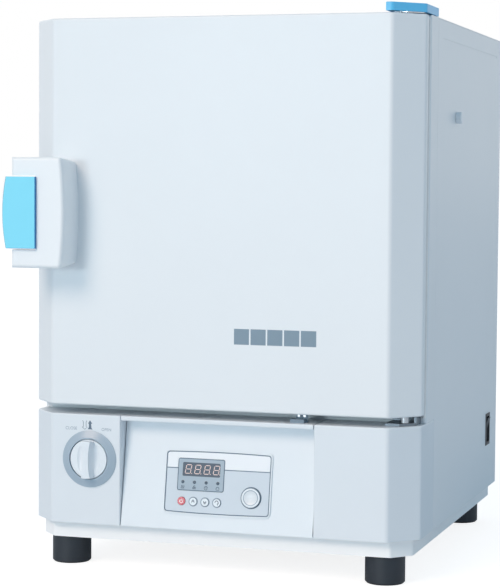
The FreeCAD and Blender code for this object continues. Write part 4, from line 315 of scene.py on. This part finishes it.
def powder_coat(name, colour, roughness=0.38):
    """Baked enamel: faint blotches in its colour, fine orange peel and a thin gloss."""
    finish = Finish(name, colour, roughness, coat_weight=0.12, coat_roughness=0.25)
    blotches = finish.noise(7.0, 3.0)
    finish.base = finish.mixed(blotches, shade(colour, 0.985), shade(colour, 1.012))
    finish.feed("Base Color", finish.base)
    finish.feed("Roughness", finish.noise(45.0, 3.0) * 0.10 + (roughness - 0.05))
    finish.bump(finish.noise(900.0), 0.00003)
    return finish


def moulded_plastic(name, colour, roughness=0.34, grain=1800.0, depth=0.00002, coat=0.0):
    """Moulded plastic: a fine spark-eroded grain under an even colour."""
    finish = Finish(name, colour, roughness, coat_weight=coat, coat_roughness=0.15)
    finish.base = finish.mixed(finish.noise(16.0), shade(colour, 0.985), shade(colour, 1.01))
    finish.feed("Base Color", finish.base)
    finish.feed("Roughness", finish.noise(120.0) * 0.08 + (roughness - 0.04))
    finish.bump(finish.noise(grain, 1.0), depth)
    return finish


def brushed_metal(name, colour, stretch, roughness=0.34):
    """Sheet metal with fine brush lines along the axis that has the smallest factor."""
    finish = Finish(name, colour, roughness, metallic=1.0)
    lines = finish.noise(900.0, 3.0, stretch)
    finish.feed("Base Color", finish.mixed(lines, shade(colour, 0.86), shade(colour, 1.08)))
    finish.feed("Roughness", lines * 0.16 + (roughness - 0.08))
    finish.bump(lines, 0.00002)
    return finish


def zinc_plate(name, colour):
    """Zinc-plated steel with a faint crystal pattern."""
    finish = Finish(name, colour, 0.42, metallic=1.0)
    cells = finish.node("TexVoronoi", Vector=finish.place(), Scale=160.0)
    finish.feed("Base Color", finish.mixed(cells, shade(colour, 0.88), shade(colour, 1.06)))
    finish.feed("Roughness", cells * 0.12 + 0.36)
    return finish


def polished_metal(name, colour):
    """Chrome plate and ground steel, with a faint haze."""
    finish = Finish(name, colour, 0.16, metallic=1.0)
    finish.feed("Roughness", finish.noise(260.0, 3.0) * 0.10 + 0.10)
    return finish


def moulded_rubber(name, colour, roughness=0.5):
    """Rubber with a dull, slightly dusty skin."""
    finish = Finish(name, colour, roughness)
    dust = finish.noise(60.0, 4.0)
    finish.feed("Base Color", finish.mixed(dust, shade(colour, 0.85), shade(colour, 1.25)))
    finish.feed("Roughness", dust * 0.14 + (roughness - 0.07))
    finish.bump(finish.noise(1400.0), 0.00004)
    return finish


def pressed_wool(name, colour):
    """Pressed mineral wool: long fibres, with darker binder between them."""
    finish = Finish(name, colour, 0.95)
    fibres = finish.noise(260.0, 4.0, (0.35, 2.7, 1.0))
    finish.feed("Base Color", finish.mixed(fibres, shade(colour, 0.62), shade(colour, 1.25)))
    finish.bump(fibres, 0.0006)
    return finish


def baked_sheath(name, straw, blue):
    """The heater's oxidised steel sheath, with straw and blue tints."""
    finish = Finish(name, straw, 0.5, metallic=1.0)
    tint = finish.noise(35.0, 3.0)
    finish.feed("Base Color", finish.mixed(tint, straw, blue))
    finish.feed("Roughness", tint * 0.2 + 0.4)
    return finish


def lit_segment(name, colour, strength):
    """A lit segment of the display."""
    finish = Finish(name, colour, 0.5, emission_color=colour, emission_strength=strength)
    finish.feed("Roughness", finish.noise(300.0) * 0.1 + 0.45)
    return finish


def rounded_distance(across, up, middle, half, corner):
    """How far a point is outside a rectangle with rounded corners; it is negative inside.

    The point's distances from the middle, less the half sizes without the corner, give two numbers.
    The distance is the length of their positive parts, plus the larger one where both are
    negative, less the corner's radius.
    """
    out_x = (across - middle[0]).math("ABSOLUTE") - (half[0] - corner)
    out_h = (up - middle[1]).math("ABSOLUTE") - (half[1] - corner)
    far_x = out_x.math("MAXIMUM", 0.0)
    far_h = out_h.math("MAXIMUM", 0.0)
    length = (far_x * far_x + far_h * far_h).math("SQRT")
    return length + out_x.math("MAXIMUM", out_h).math("MINIMUM", 0.0) - corner


def slope_axes(finish):
    """A point's place on the console's slope, in millimetres: across from the middle, and up."""
    x, y, z = finish.axes()
    across = (x - MIDDLE_X) * (1 / MM)
    up = (y - SLOPE_FOOT_Y) * (math.sin(SLOPE_ANGLE) / MM)
    return across, up + (z - SLOPE_FOOT_Z) * (math.cos(SLOPE_ANGLE) / MM)


def middle_and_half(*spans):
    """The middle and the half size of a rectangle given by its two spans."""
    middle = tuple((low + high) / 2 for low, high in spans)
    half = tuple((high - low) / 2 for low, high in spans)
    return middle, half


def ring_distance(across, up, middle):
    """A point's distance from a middle, from its coordinates across and up."""
    out_x = across - middle[0]
    out_h = up - middle[1]
    return (out_x * out_x + out_h * out_h).math("SQRT")


def key_distance(across, up):
    """A point's distance from the nearest key's middle; the keys stand at even steps."""
    half = KEY_PITCH / 2
    step = (across - (KEY_X0 - half)).math("FLOORED_MODULO", KEY_PITCH)
    return ring_distance(step, up, (half, KEY_H))


def print_panel(finish):
    """The control panel's print: a pale strip over a greyer field, dark lines and grey key rings.

    The panel's upper and lower edges are curved: its half height grows by the bulge times one
    less the square of the way from its middle to its side.
    """
    across, up = slope_axes(finish)
    middle, half = middle_and_half(PANEL_X, PANEL_H)
    reach = (across - middle[0]) * (1 / half[0])
    half_height = (1.0 - reach * reach) * PANEL_BULGE + half[1]
    distance = rounded_distance(across, up, middle, (half[0], half_height), PANEL_CORNER)
    border = 1.0 - distance.below(-LINE_WIDTH)
    divider = (up - DIVIDER_H).math("ABSOLUTE").below(LINE_WIDTH / 2)
    start = ring_distance(across, up, START_AT).below(START_RING)
    lines = border.math("MAXIMUM", divider).math("MAXIMUM", start)
    row_end = KEY_X0 + KEY_PITCH * (KEY_COUNT - 0.5)
    row = across.between(KEY_X0 + KEY_PITCH / 2, row_end, 0.1)
    rings = key_distance(across, up).below(KEY_RING) * row
    tone = finish.mixed(up.below(DIVIDER_H, 0.2), PANEL_PALE, PANEL_GREY)
    tone = finish.mixed(rings, tone, KEY_GREY)
    finish.feed("Base Color", finish.mixed(lines, tone, PANEL_LINE))


def print_keys(finish):
    """A grey edge round each pale key."""
    edge = 1.0 - key_distance(*slope_axes(finish)).below(KEY_EDGE, 0.2)
    finish.feed("Base Color", finish.mixed(edge, finish.base, KEY_GREY))


def print_start(finish):
    """Painted shade: a thin grey line on the large button where its dish begins. Also a grey side
    wall.
    """
    distance = ring_distance(*slope_axes(finish), START_AT)
    # A grey line painted at the dish's edge as its shade
    line = distance.between(START_DISH - START_SHADE_LINE / 2, START_DISH + START_SHADE_LINE / 2, 0.3)
    wall = 1.0 - distance.below(START_RADIUS - START_WALL, 0.2)
    grey = line.math("MAXIMUM", wall)
    finish.feed("Base Color", finish.mixed(grey, finish.base, START_GREY))


def print_buffer(finish):
    """Two bright screw heads on the tab of the grey door buffer."""
    x, y, z = finish.axes()
    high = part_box("door_buffer")[1]
    middles = [(high.x - inset * MM, high.z - SCREW_DOWN * MM) for inset in SCREW_IN]
    right, left = [ring_distance(x, z, middle) for middle in middles]
    heads = right.math("MINIMUM", left).below(SCREW_RADIUS * MM, 0.1 * MM)
    heads = heads * y.below(high.y - TAB_DEPTH * MM, 0.05 * MM)
    finish.feed("Metallic", heads)
    finish.feed("Base Color", finish.mixed(heads, finish.base, SCREW_BRIGHT))


def print_cover(finish):
    """Painted shade: a darker blue on the lever cover's right and lower sides, past the rounding of
    its face.
    """
    x, _, z = finish.axes()
    low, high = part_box("lever_cover")
    right = 1.0 - x.below(high.x - COVER_EDGE * MM, 0.1 * MM)
    bottom = z.below(low.z + COVER_EDGE * MM, 0.1 * MM)
    sides = right.math("MAXIMUM", bottom)
    finish.feed("Base Color", finish.mixed(sides, finish.base, COVER_SHADE_BLUE))


def print_window(finish):
    """The window's print: a grey field, a dark border, and the dark clear part for the figures."""
    across, up = slope_axes(finish)
    middle, half = middle_and_half(WINDOW_X, WINDOW_H)
    border = 1.0 - rounded_distance(across, up, middle, half, WINDOW_CORNER).below(-WINDOW_BORDER)
    middle, half = middle_and_half(CLEAR_X, CLEAR_H)
    clear = rounded_distance(across, up, middle, half, CLEAR_CORNER).below(0.0, 0.3)
    tone = finish.mixed(border, WINDOW_GREY, WINDOW_LINE)
    finish.feed("Base Color", finish.mixed(clear, tone, WINDOW_DARK))


def print_door(finish):
    """Five plain grey squares printed low on the right of the door's front."""
    x, y, z = finish.axes()
    across = (x - (MIDDLE_X + SQUARE_X0 * MM)) * (1 / (SQUARE_PITCH * MM))
    row = across.between(0.0, SQUARE_COUNT, 0.002)
    square = across.math("FRACT").below(SQUARE_SIZE / SQUARE_PITCH, 0.02)
    height = z.between(SQUARE_Z[0] * MM, SQUARE_Z[1] * MM, 0.3 * MM)
    front = y.below(FRONT_Y + 2 * MM, 0.2 * MM)
    mask = row * square * height * front
    finish.feed("Base Color", finish.mixed(mask, finish.base, SQUARE_GREY))


# The common finish of each material slot
slot_finishes = {
    "white_enamel": powder_coat("white enamel", WHITE),
    "white_plastic": moulded_plastic("white plastic", srgb(226, 234, 240)),
    "knob_plastic": moulded_plastic("knob plastic", srgb(230, 238, 244), 0.30),
    "grey_plastic": moulded_plastic("grey plastic", srgb(150, 168, 184), 0.32),
    "blue_plastic": moulded_plastic("blue plastic", srgb(92, 194, 243), coat=0.05),
    "panel_film": moulded_plastic("panel film", srgb(222, 231, 238), 0.40, 2600.0, 0.00001),
    "display_tint": moulded_plastic("display tint", srgb(163, 180, 194), 0.38, 2600.0, 0.000002),
    "display_block": moulded_plastic("display block", srgb(60, 80, 95), 0.4),
    "circuit_board": moulded_plastic("circuit board", srgb(30, 110, 70), 0.4),
    "red_plastic": moulded_plastic("red plastic", srgb(205, 70, 85), 0.28, coat=0.3),
    "pale_key": moulded_plastic("pale key", srgb(224, 232, 238), 0.30, coat=0.1),
    "black_plastic": moulded_plastic("black plastic", srgb(30, 36, 44), 0.45),
    "foot_rubber": moulded_rubber("foot rubber", srgb(28, 38, 48)),
    "silicone": moulded_rubber("silicone", srgb(206, 208, 208)),
    "zinc_steel": zinc_plate("zinc steel", (0.62, 0.63, 0.65)),
    "stainless": brushed_metal("stainless steel", (0.60, 0.60, 0.59), (0.02, 1.0, 1.0)),
    "shelf_chrome": polished_metal("shelf chrome", (0.72, 0.72, 0.74)),
    "bright_steel": polished_metal("bright steel", (0.74, 0.75, 0.77)),
    "mineral_wool": pressed_wool("mineral wool", (0.50, 0.44, 0.26)),
    "aluminium": brushed_metal("aluminium", (0.72, 0.73, 0.74), (1.0, 0.02, 1.0), 0.4),
    "heater_sheath": baked_sheath("heater sheath", STRAW_TINT, BLUE_TINT),
    "motor_paint": powder_coat("motor paint", srgb(58, 62, 66), 0.5),
}

# Pieces whose finish differs from their slot's
piece_finishes = {
    "door_shell": powder_coat("printed door enamel", WHITE),
    "base_tray": powder_coat("base enamel", srgb(250, 253, 255)),
    "handle_housing": moulded_plastic("handle plastic", srgb(242, 247, 250)),
    "lever_cover": moulded_plastic("cover plastic", srgb(131, 229, 255), 0.42),
    "knob_ring": moulded_plastic("ring plastic", srgb(165, 184, 199), 0.30, coat=0.2),
    # The lower hinge's zinc is darkened well below zinc's own tone as painted shade for the gap it
    # sits in
    "lower_hinge": zinc_plate("hinge zinc darkened for painted shade", (0.20, 0.24, 0.28)),
    "door_bushes": brushed_metal("bush steel", (0.56, 0.60, 0.64), (1.0, 1.0, 0.02), 0.28),
    "start_button": moulded_plastic("start button plastic", srgb(224, 232, 238), 0.30, coat=0.1),
    "door_buffer": moulded_plastic("buffer plastic", srgb(122, 142, 158), 0.4),
}

# Finishes of the new pieces
# The bead's near-white tone is a painted highlight: it gives the pale line between the door and the
# side
bead_highlight_rubber = moulded_rubber("bead rubber painted highlight", srgb(252, 254, 255))
mark_ink = moulded_plastic("mark ink", srgb(96, 116, 134), 0.5)
sign_ink = moulded_plastic("sign ink", srgb(68, 88, 106), 0.5)
faint_ink = moulded_plastic("faint ink", srgb(148, 165, 180), 0.5)
white_ink = moulded_plastic("white ink", srgb(246, 232, 232), 0.5)
segment_glow = lit_segment("segment glow", srgb(230, 208, 202), 0.12)
lamp_lens = moulded_plastic("lamp lens", srgb(62, 82, 100), 0.25)


def dress(node, finish):
    """Gives a solid's own mesh a finish."""
    mesh = nodes[node].data
    mesh.materials.clear()
    mesh.materials.append(finish.material)


for entry in frame["record"]["subparts"]:
    common = slot_finishes[entry["material_slot"]]
    dress(entry["node"], piece_finishes.get(entry["node"], common))
print_panel(slot_finishes["panel_film"])
print_window(slot_finishes["display_tint"])
print_keys(slot_finishes["pale_key"])
print_start(piece_finishes["start_button"])
print_buffer(piece_finishes["door_buffer"])
print_cover(piece_finishes["lever_cover"])
print_door(piece_finishes["door_shell"])


def on_slope(across, up, out):
    """Points on the console's slope, in metres, from millimetres across, up it and out of it."""
    y = SLOPE_FOOT_Y + (up * math.sin(SLOPE_ANGLE) - out * math.cos(SLOPE_ANGLE)) * MM
    z = SLOPE_FOOT_Z + (up * math.cos(SLOPE_ANGLE) + out * math.sin(SLOPE_ANGLE)) * MM
    return np.stack([across * MM + MIDDLE_X + 0 * y, y, z], axis=-1)


def on_front(across, up, out):
    """Points on the flat front, in metres, from millimetres across, above the bench and out."""
    y = FRONT_Y - out * MM
    return np.stack([across * MM + MIDDLE_X + 0 * y, y + 0 * across, up * MM + 0 * y], axis=-1)


def tube_faces(rows, columns):
    """The faces of a tube given as a grid of points, with a flat face at each end.

    Each row is a ring of points. The faces point outwards where the rings run clockwise, seen
    against the order of the rows.
    """
    i = np.arange(rows - 1)[:, None] * columns
    j = np.arange(columns)[None, :]
    beside = (j + 1) % columns
    corners = (i + j, i + columns + j, i + columns + beside, i + beside)
    faces = np.stack(corners, axis=-1).reshape(-1, 4).tolist()
    last = columns * (rows - 1)
    faces.append(list(range(columns)))
    faces.append([last + index for index in reversed(range(columns))])
    return faces


def join_body(name, mesh, finish, body):
    """Makes a mesh a new piece of the oven, riding on a body."""
    mesh.materials.clear()
    mesh.materials.append(finish.material)
    piece = bpy.data.objects.new(name, mesh)
    bpy.context.scene.collection.objects.link(piece)
    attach(piece, body)


def add_piece(name, vertices, faces, finish, body, sharp_turn=None):
    """A new piece of the oven from its vertices and faces; it is smooth if given a sharp turn."""
    mesh = bpy.data.meshes.new(name)
    mesh.from_pydata(np.asarray(vertices).tolist(), [], faces)
    mesh.update()
    if sharp_turn is not None:
        mesh.shade_smooth()
        mesh.set_sharp_from_angle(angle=math.radians(sharp_turn))
    join_body(name, mesh, finish, body)


def carried(path, section, place, width=1.0):
    """A section carried along a path, square to it.

    At each point the path's direction is the difference of its neighbours, turned a quarter to give
    the side. Each corner of the section lies so far to that side, times the width there, and so far
    out. The section's corners run clockwise, seen against the path.
    """
    path = np.asarray(path, float)
    section = np.asarray(section, float)
    ahead = np.gradient(path, axis=0)
    side = np.stack([-ahead[:, 1], ahead[:, 0]], axis=1)
    side /= np.linalg.norm(side, axis=1)[:, None]
    reach = np.broadcast_to(np.asarray(width, float), len(path))[:, None] * section[:, 0]
    across = path[:, :1] + side[:, :1] * reach
    up = path[:, 1:] + side[:, 1:] * reach
    points = place(across, up, np.broadcast_to(section[:, 1], across.shape))
    return points.reshape(-1, 3), tube_faces(len(path), len(section))


def stroke(path, width, low, high, place):
    """A flat bar of ink along a path, as wide as asked and standing from low to high."""
    section = [(0.5, low), (-0.5, low), (-0.5, high), (0.5, high)]
    return carried(path, section, place, width)


def together(parts):
    """One list of vertices and faces from several."""
    vertices = []
    faces = []
    for points, part_faces in parts:
        first = len(vertices)
        vertices.extend(points.tolist())
        faces.extend([[index + first for index in face] for face in part_faces])
    return vertices, faces


def arc(middle, radius, start, end, count):
    """Points along an arc, its angles in degrees from the direction across."""
    angles = np.radians(np.linspace(start, end, count))
    across = middle[0] + radius * np.cos(angles)
    return np.stack([across, middle[1] + radius * np.sin(angles)], axis=1)


def turned(profile, middle, place, count):
    """A round piece: a profile of (radius, height) pairs, from low to high, turned about a middle."""
    profile = np.asarray(profile, float)
    angles = np.linspace(0, -2 * math.pi, count, endpoint=False)
    across = middle[0] + profile[:, :1] * np.cos(angles)
    up = middle[1] + profile[:, :1] * np.sin(angles)
    points = place(across, up, np.broadcast_to(profile[:, 1:], across.shape))
    return points.reshape(-1, 3), tube_faces(len(profile), count)


def digit_strokes(x0):
    """The seven bars of one figure 8 and the point after it, leaning a little to the right.

    Each bar is narrow at its ends and has its full width from near its start to near its end.
    """
    w, h = DIGIT_WIDTH, DIGIT_HEIGHT
    bars = [((0, h), (w, h)), ((w, h), (w, h / 2)), ((w, h / 2), (w, 0)), ((0, 0), (w, 0)),
            ((0, 0), (0, h / 2)), ((0, h / 2), (0, h)), ((0, h / 2), (w, h / 2))]
    share = np.array([0.06, 0.16, 0.84, 0.94])
    width = np.array([0.15, 1.0, 1.0, 0.15]) * DIGIT_STROKE
    parts = []
    for start, end in bars:
        path = np.outer(1 - share, start) + np.outer(share, end)
        path[:, 0] += x0 + path[:, 1] * DIGIT_LEAN
        path[:, 1] += DIGIT_H0
        parts.append(stroke(path, width, WINDOW_ROOT, WINDOW_INK, on_slope))
    point = [(POINT_RADIUS, WINDOW_ROOT), (POINT_RADIUS, WINDOW_INK)]
    parts.append(turned(point, (x0 + w + POINT_GAP, DIGIT_H0), on_slope, 16))
    return parts


def make_digits():
    """The four lit figures, laid on the window where they show through it."""
    parts = []
    for k in range(DIGIT_COUNT):
        parts.extend(digit_strokes(DIGIT_X0 + k * DIGIT_PITCH))
    vertices, faces = together(parts)
    add_piece("display_digits", vertices, faces, segment_glow, "cabinet")


def sign(paths, middle, size, width, low, high):
    """The strokes of a sign on the slope: its paths, drawn round their own middle, put in place."""
    return [stroke(np.asarray(path) * size + middle, width, low, high, on_slope) for path in paths]


def lamp_signs():
    """The paths of the signs for heat, fan, clock and alarm."""
    wave = np.linspace(-1.6, 1.6, 9)
    sway = 0.35 * np.sin(wave * 2.4)
    heat = [np.stack([shift + sway, wave], axis=1) for shift in (-1.3, 0.0, 1.3)]
    fan = [arc((math.cos(turn), math.sin(turn)), 0.8, 0, 330, 14) for turn in (1.57, 3.67, 5.76)]
    clock = [arc((0, 0), 1.7, 0, 345, 24), [(0, 1.1), (0, 0.1), (0.8, -0.3)]]
    alarm = [arc((0, 0), 1.5, 0, 180, 16), [(-1.5, 0), (-1.6, -1.3), (1.6, -1.3), (1.5, 0)]]
    return heat, fan, clock, alarm


def make_lamps():
    """The four indicator lamps, and the small sign printed under each."""
    lamps = []
    signs = []
    dome = [(radius, WINDOW_FACE + height) for radius, height in LAMP_DOME]
    for k, paths in enumerate(lamp_signs()):
        x = LAMP_X0 + k * LAMP_PITCH
        lamps.append(turned(dome, (x, LAMP_H), on_slope, 24))
        signs.extend(sign(paths, (x, SIGN_H), SIGN_SIZE, SIGN_STROKE, WINDOW_ROOT, WINDOW_INK))
    vertices, faces = together(lamps)
    add_piece("indicator_lamps", vertices, faces, lamp_lens, "cabinet", SHARP_TURN)
    vertices, faces = together(signs)
    add_piece("lamp_signs", vertices, faces, sign_ink, "cabinet")


def key_sign(name, body, ink, index, paths):
    """A sign on the face of a key, counted from the left; it moves with the key."""
    middle = (KEY_X0 + index * KEY_PITCH, KEY_H)
    low, high = KEY_FACE - KEY_INK_ROOT, KEY_FACE + INK_FACE
    vertices, faces = together(sign(paths, middle, 1.0, KEY_STROKE, low, high))
    add_piece(name, vertices, faces, ink, body)


def make_key_signs():
    """On or off, up, down and enter."""
    power = [arc((0, -0.2), 2.0, 125, 415, 28), [(0, 2.6), (0, 1.4), (0, 0.2)]]
    up = [[(-1.8, foot), (0, foot + 2.1), (1.8, foot)] for foot in (-1.2, 0.2)]
    down = [[(across, -height) for across, height in path] for path in up]
    enter = [arc((0, 0.3), 2.1, 185, -55, 22), [(2.4, -1.0), (0.9, -1.5), (1.3, -3.0)]]
    key_sign("power_sign", "power_key", white_ink, 0, power)
    key_sign("up_sign", "up_key", sign_ink, 1, up)
    key_sign("down_sign", "down_key", sign_ink, 2, down)
    key_sign("enter_sign", "enter_key", sign_ink, 3, enter)


def words(name, text, size, middle, ink, body):
    """A printed word on the flat front, its middle in millimetres across and above the bench."""
    curve = bpy.data.curves.new(name, "FONT")
    curve.body = text
    curve.size = size * MM
    curve.extrude = INK_FACE * MM
    curve.align_x = "CENTER"
    curve.align_y = "CENTER"
    holder = bpy.data.objects.new(name, curve)
    bpy.context.scene.collection.objects.link(holder)
    shown = holder.evaluated_get(bpy.context.evaluated_depsgraph_get())
    mesh = bpy.data.meshes.new_from_object(shown)
    bpy.data.objects.remove(holder)
    stand = Matrix.Rotation(math.radians(90), 4, "X")
    spot = Matrix.Translation((middle[0] * MM + MIDDLE_X, FRONT_Y, middle[1] * MM))
    mesh.transform(spot @ stand)
    join_body(name, mesh, ink, body)


def make_vent_marks():
    """Above the vent knob: an outlined arrow down, a solid arrow up, and the two end positions."""
    x = (KNOB_X - MIDDLE_X) / MM
    z = KNOB_Z / MM
    middle = ARROW_DOWN_LEFT[-1][0]
    right = [(2 * middle - across, up) for across, up in ARROW_DOWN_LEFT[-2::-1]]
    outline = [(x + across, z + up) for across, up in (*ARROW_DOWN_LEFT, *right)]
    low, high = -FRONT_INK_ROOT, INK_FACE
    vertices, faces = stroke(outline, ARROW_DOWN_STROKE, low, high, on_front)
    add_piece("arrow_down", vertices, faces, mark_ink, "cabinet")
    spine = [(x + ARROW_UP_X, z + height) for height in ARROW_UP_H]
    vertices, faces = stroke(spine, ARROW_UP_WIDTH, low, high, on_front)
    add_piece("arrow_up", vertices, faces, mark_ink, "cabinet")
    close_at = (x + CLOSE_AT[0], z + CLOSE_AT[1])
    open_at = (x + OPEN_AT[0], z + OPEN_AT[1])
    words("word_close", "CLOSE", CLOSE_SIZE, close_at, faint_ink, "cabinet")
    words("word_open", "OPEN", OPEN_SIZE, open_at, faint_ink, "cabinet")


def make_bead():
    """The near-white round bead on the frame's front edge, standing in for the pale highlight line
    there: up one side, over the top and down the other side.

    The path is three sides of a rectangle with rounded corners. The circle's points are its radius
    times the cosine to the side, and its radius times one plus the sine before its back.
    """
    half = (DOOR_HIGH.x - DOOR_LOW.x) / (2 * MM) - BEAD_RADIUS
    low = DOOR_LOW.z / MM - BEAD_FOOT
    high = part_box("front_frame")[1].z / MM - BEAD_RADIUS
    turn = half - BEAD_CORNER
    shoulder = high - BEAD_CORNER
    left = np.linspace((-half, low), (-half, shoulder), 12)
    right = np.linspace((half, shoulder), (half, low), 12)
    first = arc((-turn, shoulder), BEAD_CORNER, 180, 90, 10)
    second = arc((turn, shoulder), BEAD_CORNER, 90, 0, 10)
    path = np.concatenate([left[:-1], first, second, right[1:]])
    angles = np.linspace(0, -2 * math.pi, 16, endpoint=False)
    out = BEAD_RADIUS * (1 + np.sin(angles)) - BEAD_BACK
    section = np.stack([BEAD_RADIUS * np.cos(angles), out], axis=1)
    vertices, faces = carried(path, section, on_front)
    add_piece("frame_bead", vertices, faces, bead_highlight_rubber, "cabinet", SHARP_TURN)


def make_camera():
    """The camera at the photograph's place, with its small roll."""
    sin_yaw, cos_yaw = math.sin(CAMERA_YAW), math.cos(CAMERA_YAW)
    sin_pitch, cos_pitch = math.sin(CAMERA_PITCH), math.cos(CAMERA_PITCH)
    back = Vector((sin_yaw * cos_pitch, -cos_yaw * cos_pitch, sin_pitch))
    level = Vector((cos_yaw, sin_yaw, 0))
    upward = back.cross(level)
    right = level * math.cos(CAMERA_ROLL) + upward * math.sin(CAMERA_ROLL)
    top = upward * math.cos(CAMERA_ROLL) - level * math.sin(CAMERA_ROLL)
    lens = bpy.data.cameras.new("camera")
    lens.lens = CAMERA_LENS
    lens.sensor_width = SENSOR_WIDTH
    lens.clip_start = 0.05
    lens.clip_end = 60.0
    camera = bpy.data.objects.new("camera", lens)
    turn = Matrix((right, top, back)).transposed().to_4x4()
    camera.matrix_world = Matrix.Translation(CAMERA_TARGET + back * CAMERA_DISTANCE) @ turn
    bpy.context.scene.collection.objects.link(camera)
    bpy.context.scene.camera = camera


def soft_sun(name, direction, strength, spread, colour):
    """A wide soft light from far away; the direction points from the oven to the light."""
    lamp = bpy.data.lights.new(name, "SUN")
    lamp.energy = strength
    lamp.angle = math.radians(spread)
    lamp.color = colour
    holder = bpy.data.objects.new(name, lamp)
    holder.rotation_euler = Vector(direction).to_track_quat("Z", "Y").to_euler()
    bpy.context.scene.collection.objects.link(holder)


def seen_directly(tree, rays):
    """1 for the kinds of ray that see the plain white background, and 0 for the rest."""
    total = add_node(tree, "LightPath", output=rays[0])
    for ray in rays[1:]:
        total = total.math("MAXIMUM", add_node(tree, "LightPath", output=ray))
    return total


def plain_world(glow):
    """White where the camera, gloss or glass look at it, and a soft cool light elsewhere."""
    world = bpy.data.worlds.new("studio")
    world.use_nodes = True
    bpy.context.scene.world = world
    tree = world.node_tree
    tree.nodes.remove(tree.nodes["Background"])
    pale = add_node(tree, "Background", Color=(1.0, 1.0, 1.0, 1.0))
    soft = add_node(tree, "Background", Color=glow)
    seen = seen_directly(tree, ["Is Camera Ray", "Is Glossy Ray", "Is Transmission Ray"])
    mixed = add_node(tree, "MixShader", s0=seen, s1=soft, s2=pale)
    tree.links.new(mixed.socket, tree.nodes["World Output"].inputs["Surface"])


def make_floor():
    """A wide pale floor that keeps the oven's soft shadow."""
    sides = ((-1, -1), (1, -1), (1, 1), (-1, 1))
    mesh = bpy.data.meshes.new("floor")
    mesh.from_pydata([(x * FLOOR_HALF, y * FLOOR_HALF, 0) for x, y in sides], [], [(0, 1, 2, 3)])
    floor = bpy.data.objects.new("floor", mesh)
    bpy.context.scene.collection.objects.link(floor)
    finish = Finish("floor", FLOOR_TONE, 0.8)
    tree = finish.tree
    glow = add_node(tree, "Emission", Strength=FLOOR_WHITE)
    share = seen_directly(tree, ["Is Camera Ray"]) * FLOOR_SHARE
    lit = Signal(tree, finish.shader.outputs[0])
    mixed = add_node(tree, "MixShader", s0=share, s1=lit, s2=glow)
    tree.links.new(mixed.socket, tree.nodes["Material Output"].inputs["Surface"])
    mesh.materials.append(finish.material)


make_camera()
plain_world(SKY_GLOW)
make_floor()
soft_sun("key light", KEY_DIRECTION, KEY_STRENGTH, KEY_SPREAD, KEY_COLOUR)
soft_sun("fill light", FILL_DIRECTION, FILL_STRENGTH, FILL_SPREAD, FILL_COLOUR)
make_digits()
make_lamps()
make_key_signs()
make_vent_marks()
make_bead()

bpy.context.scene.view_settings.view_transform = "Standard"
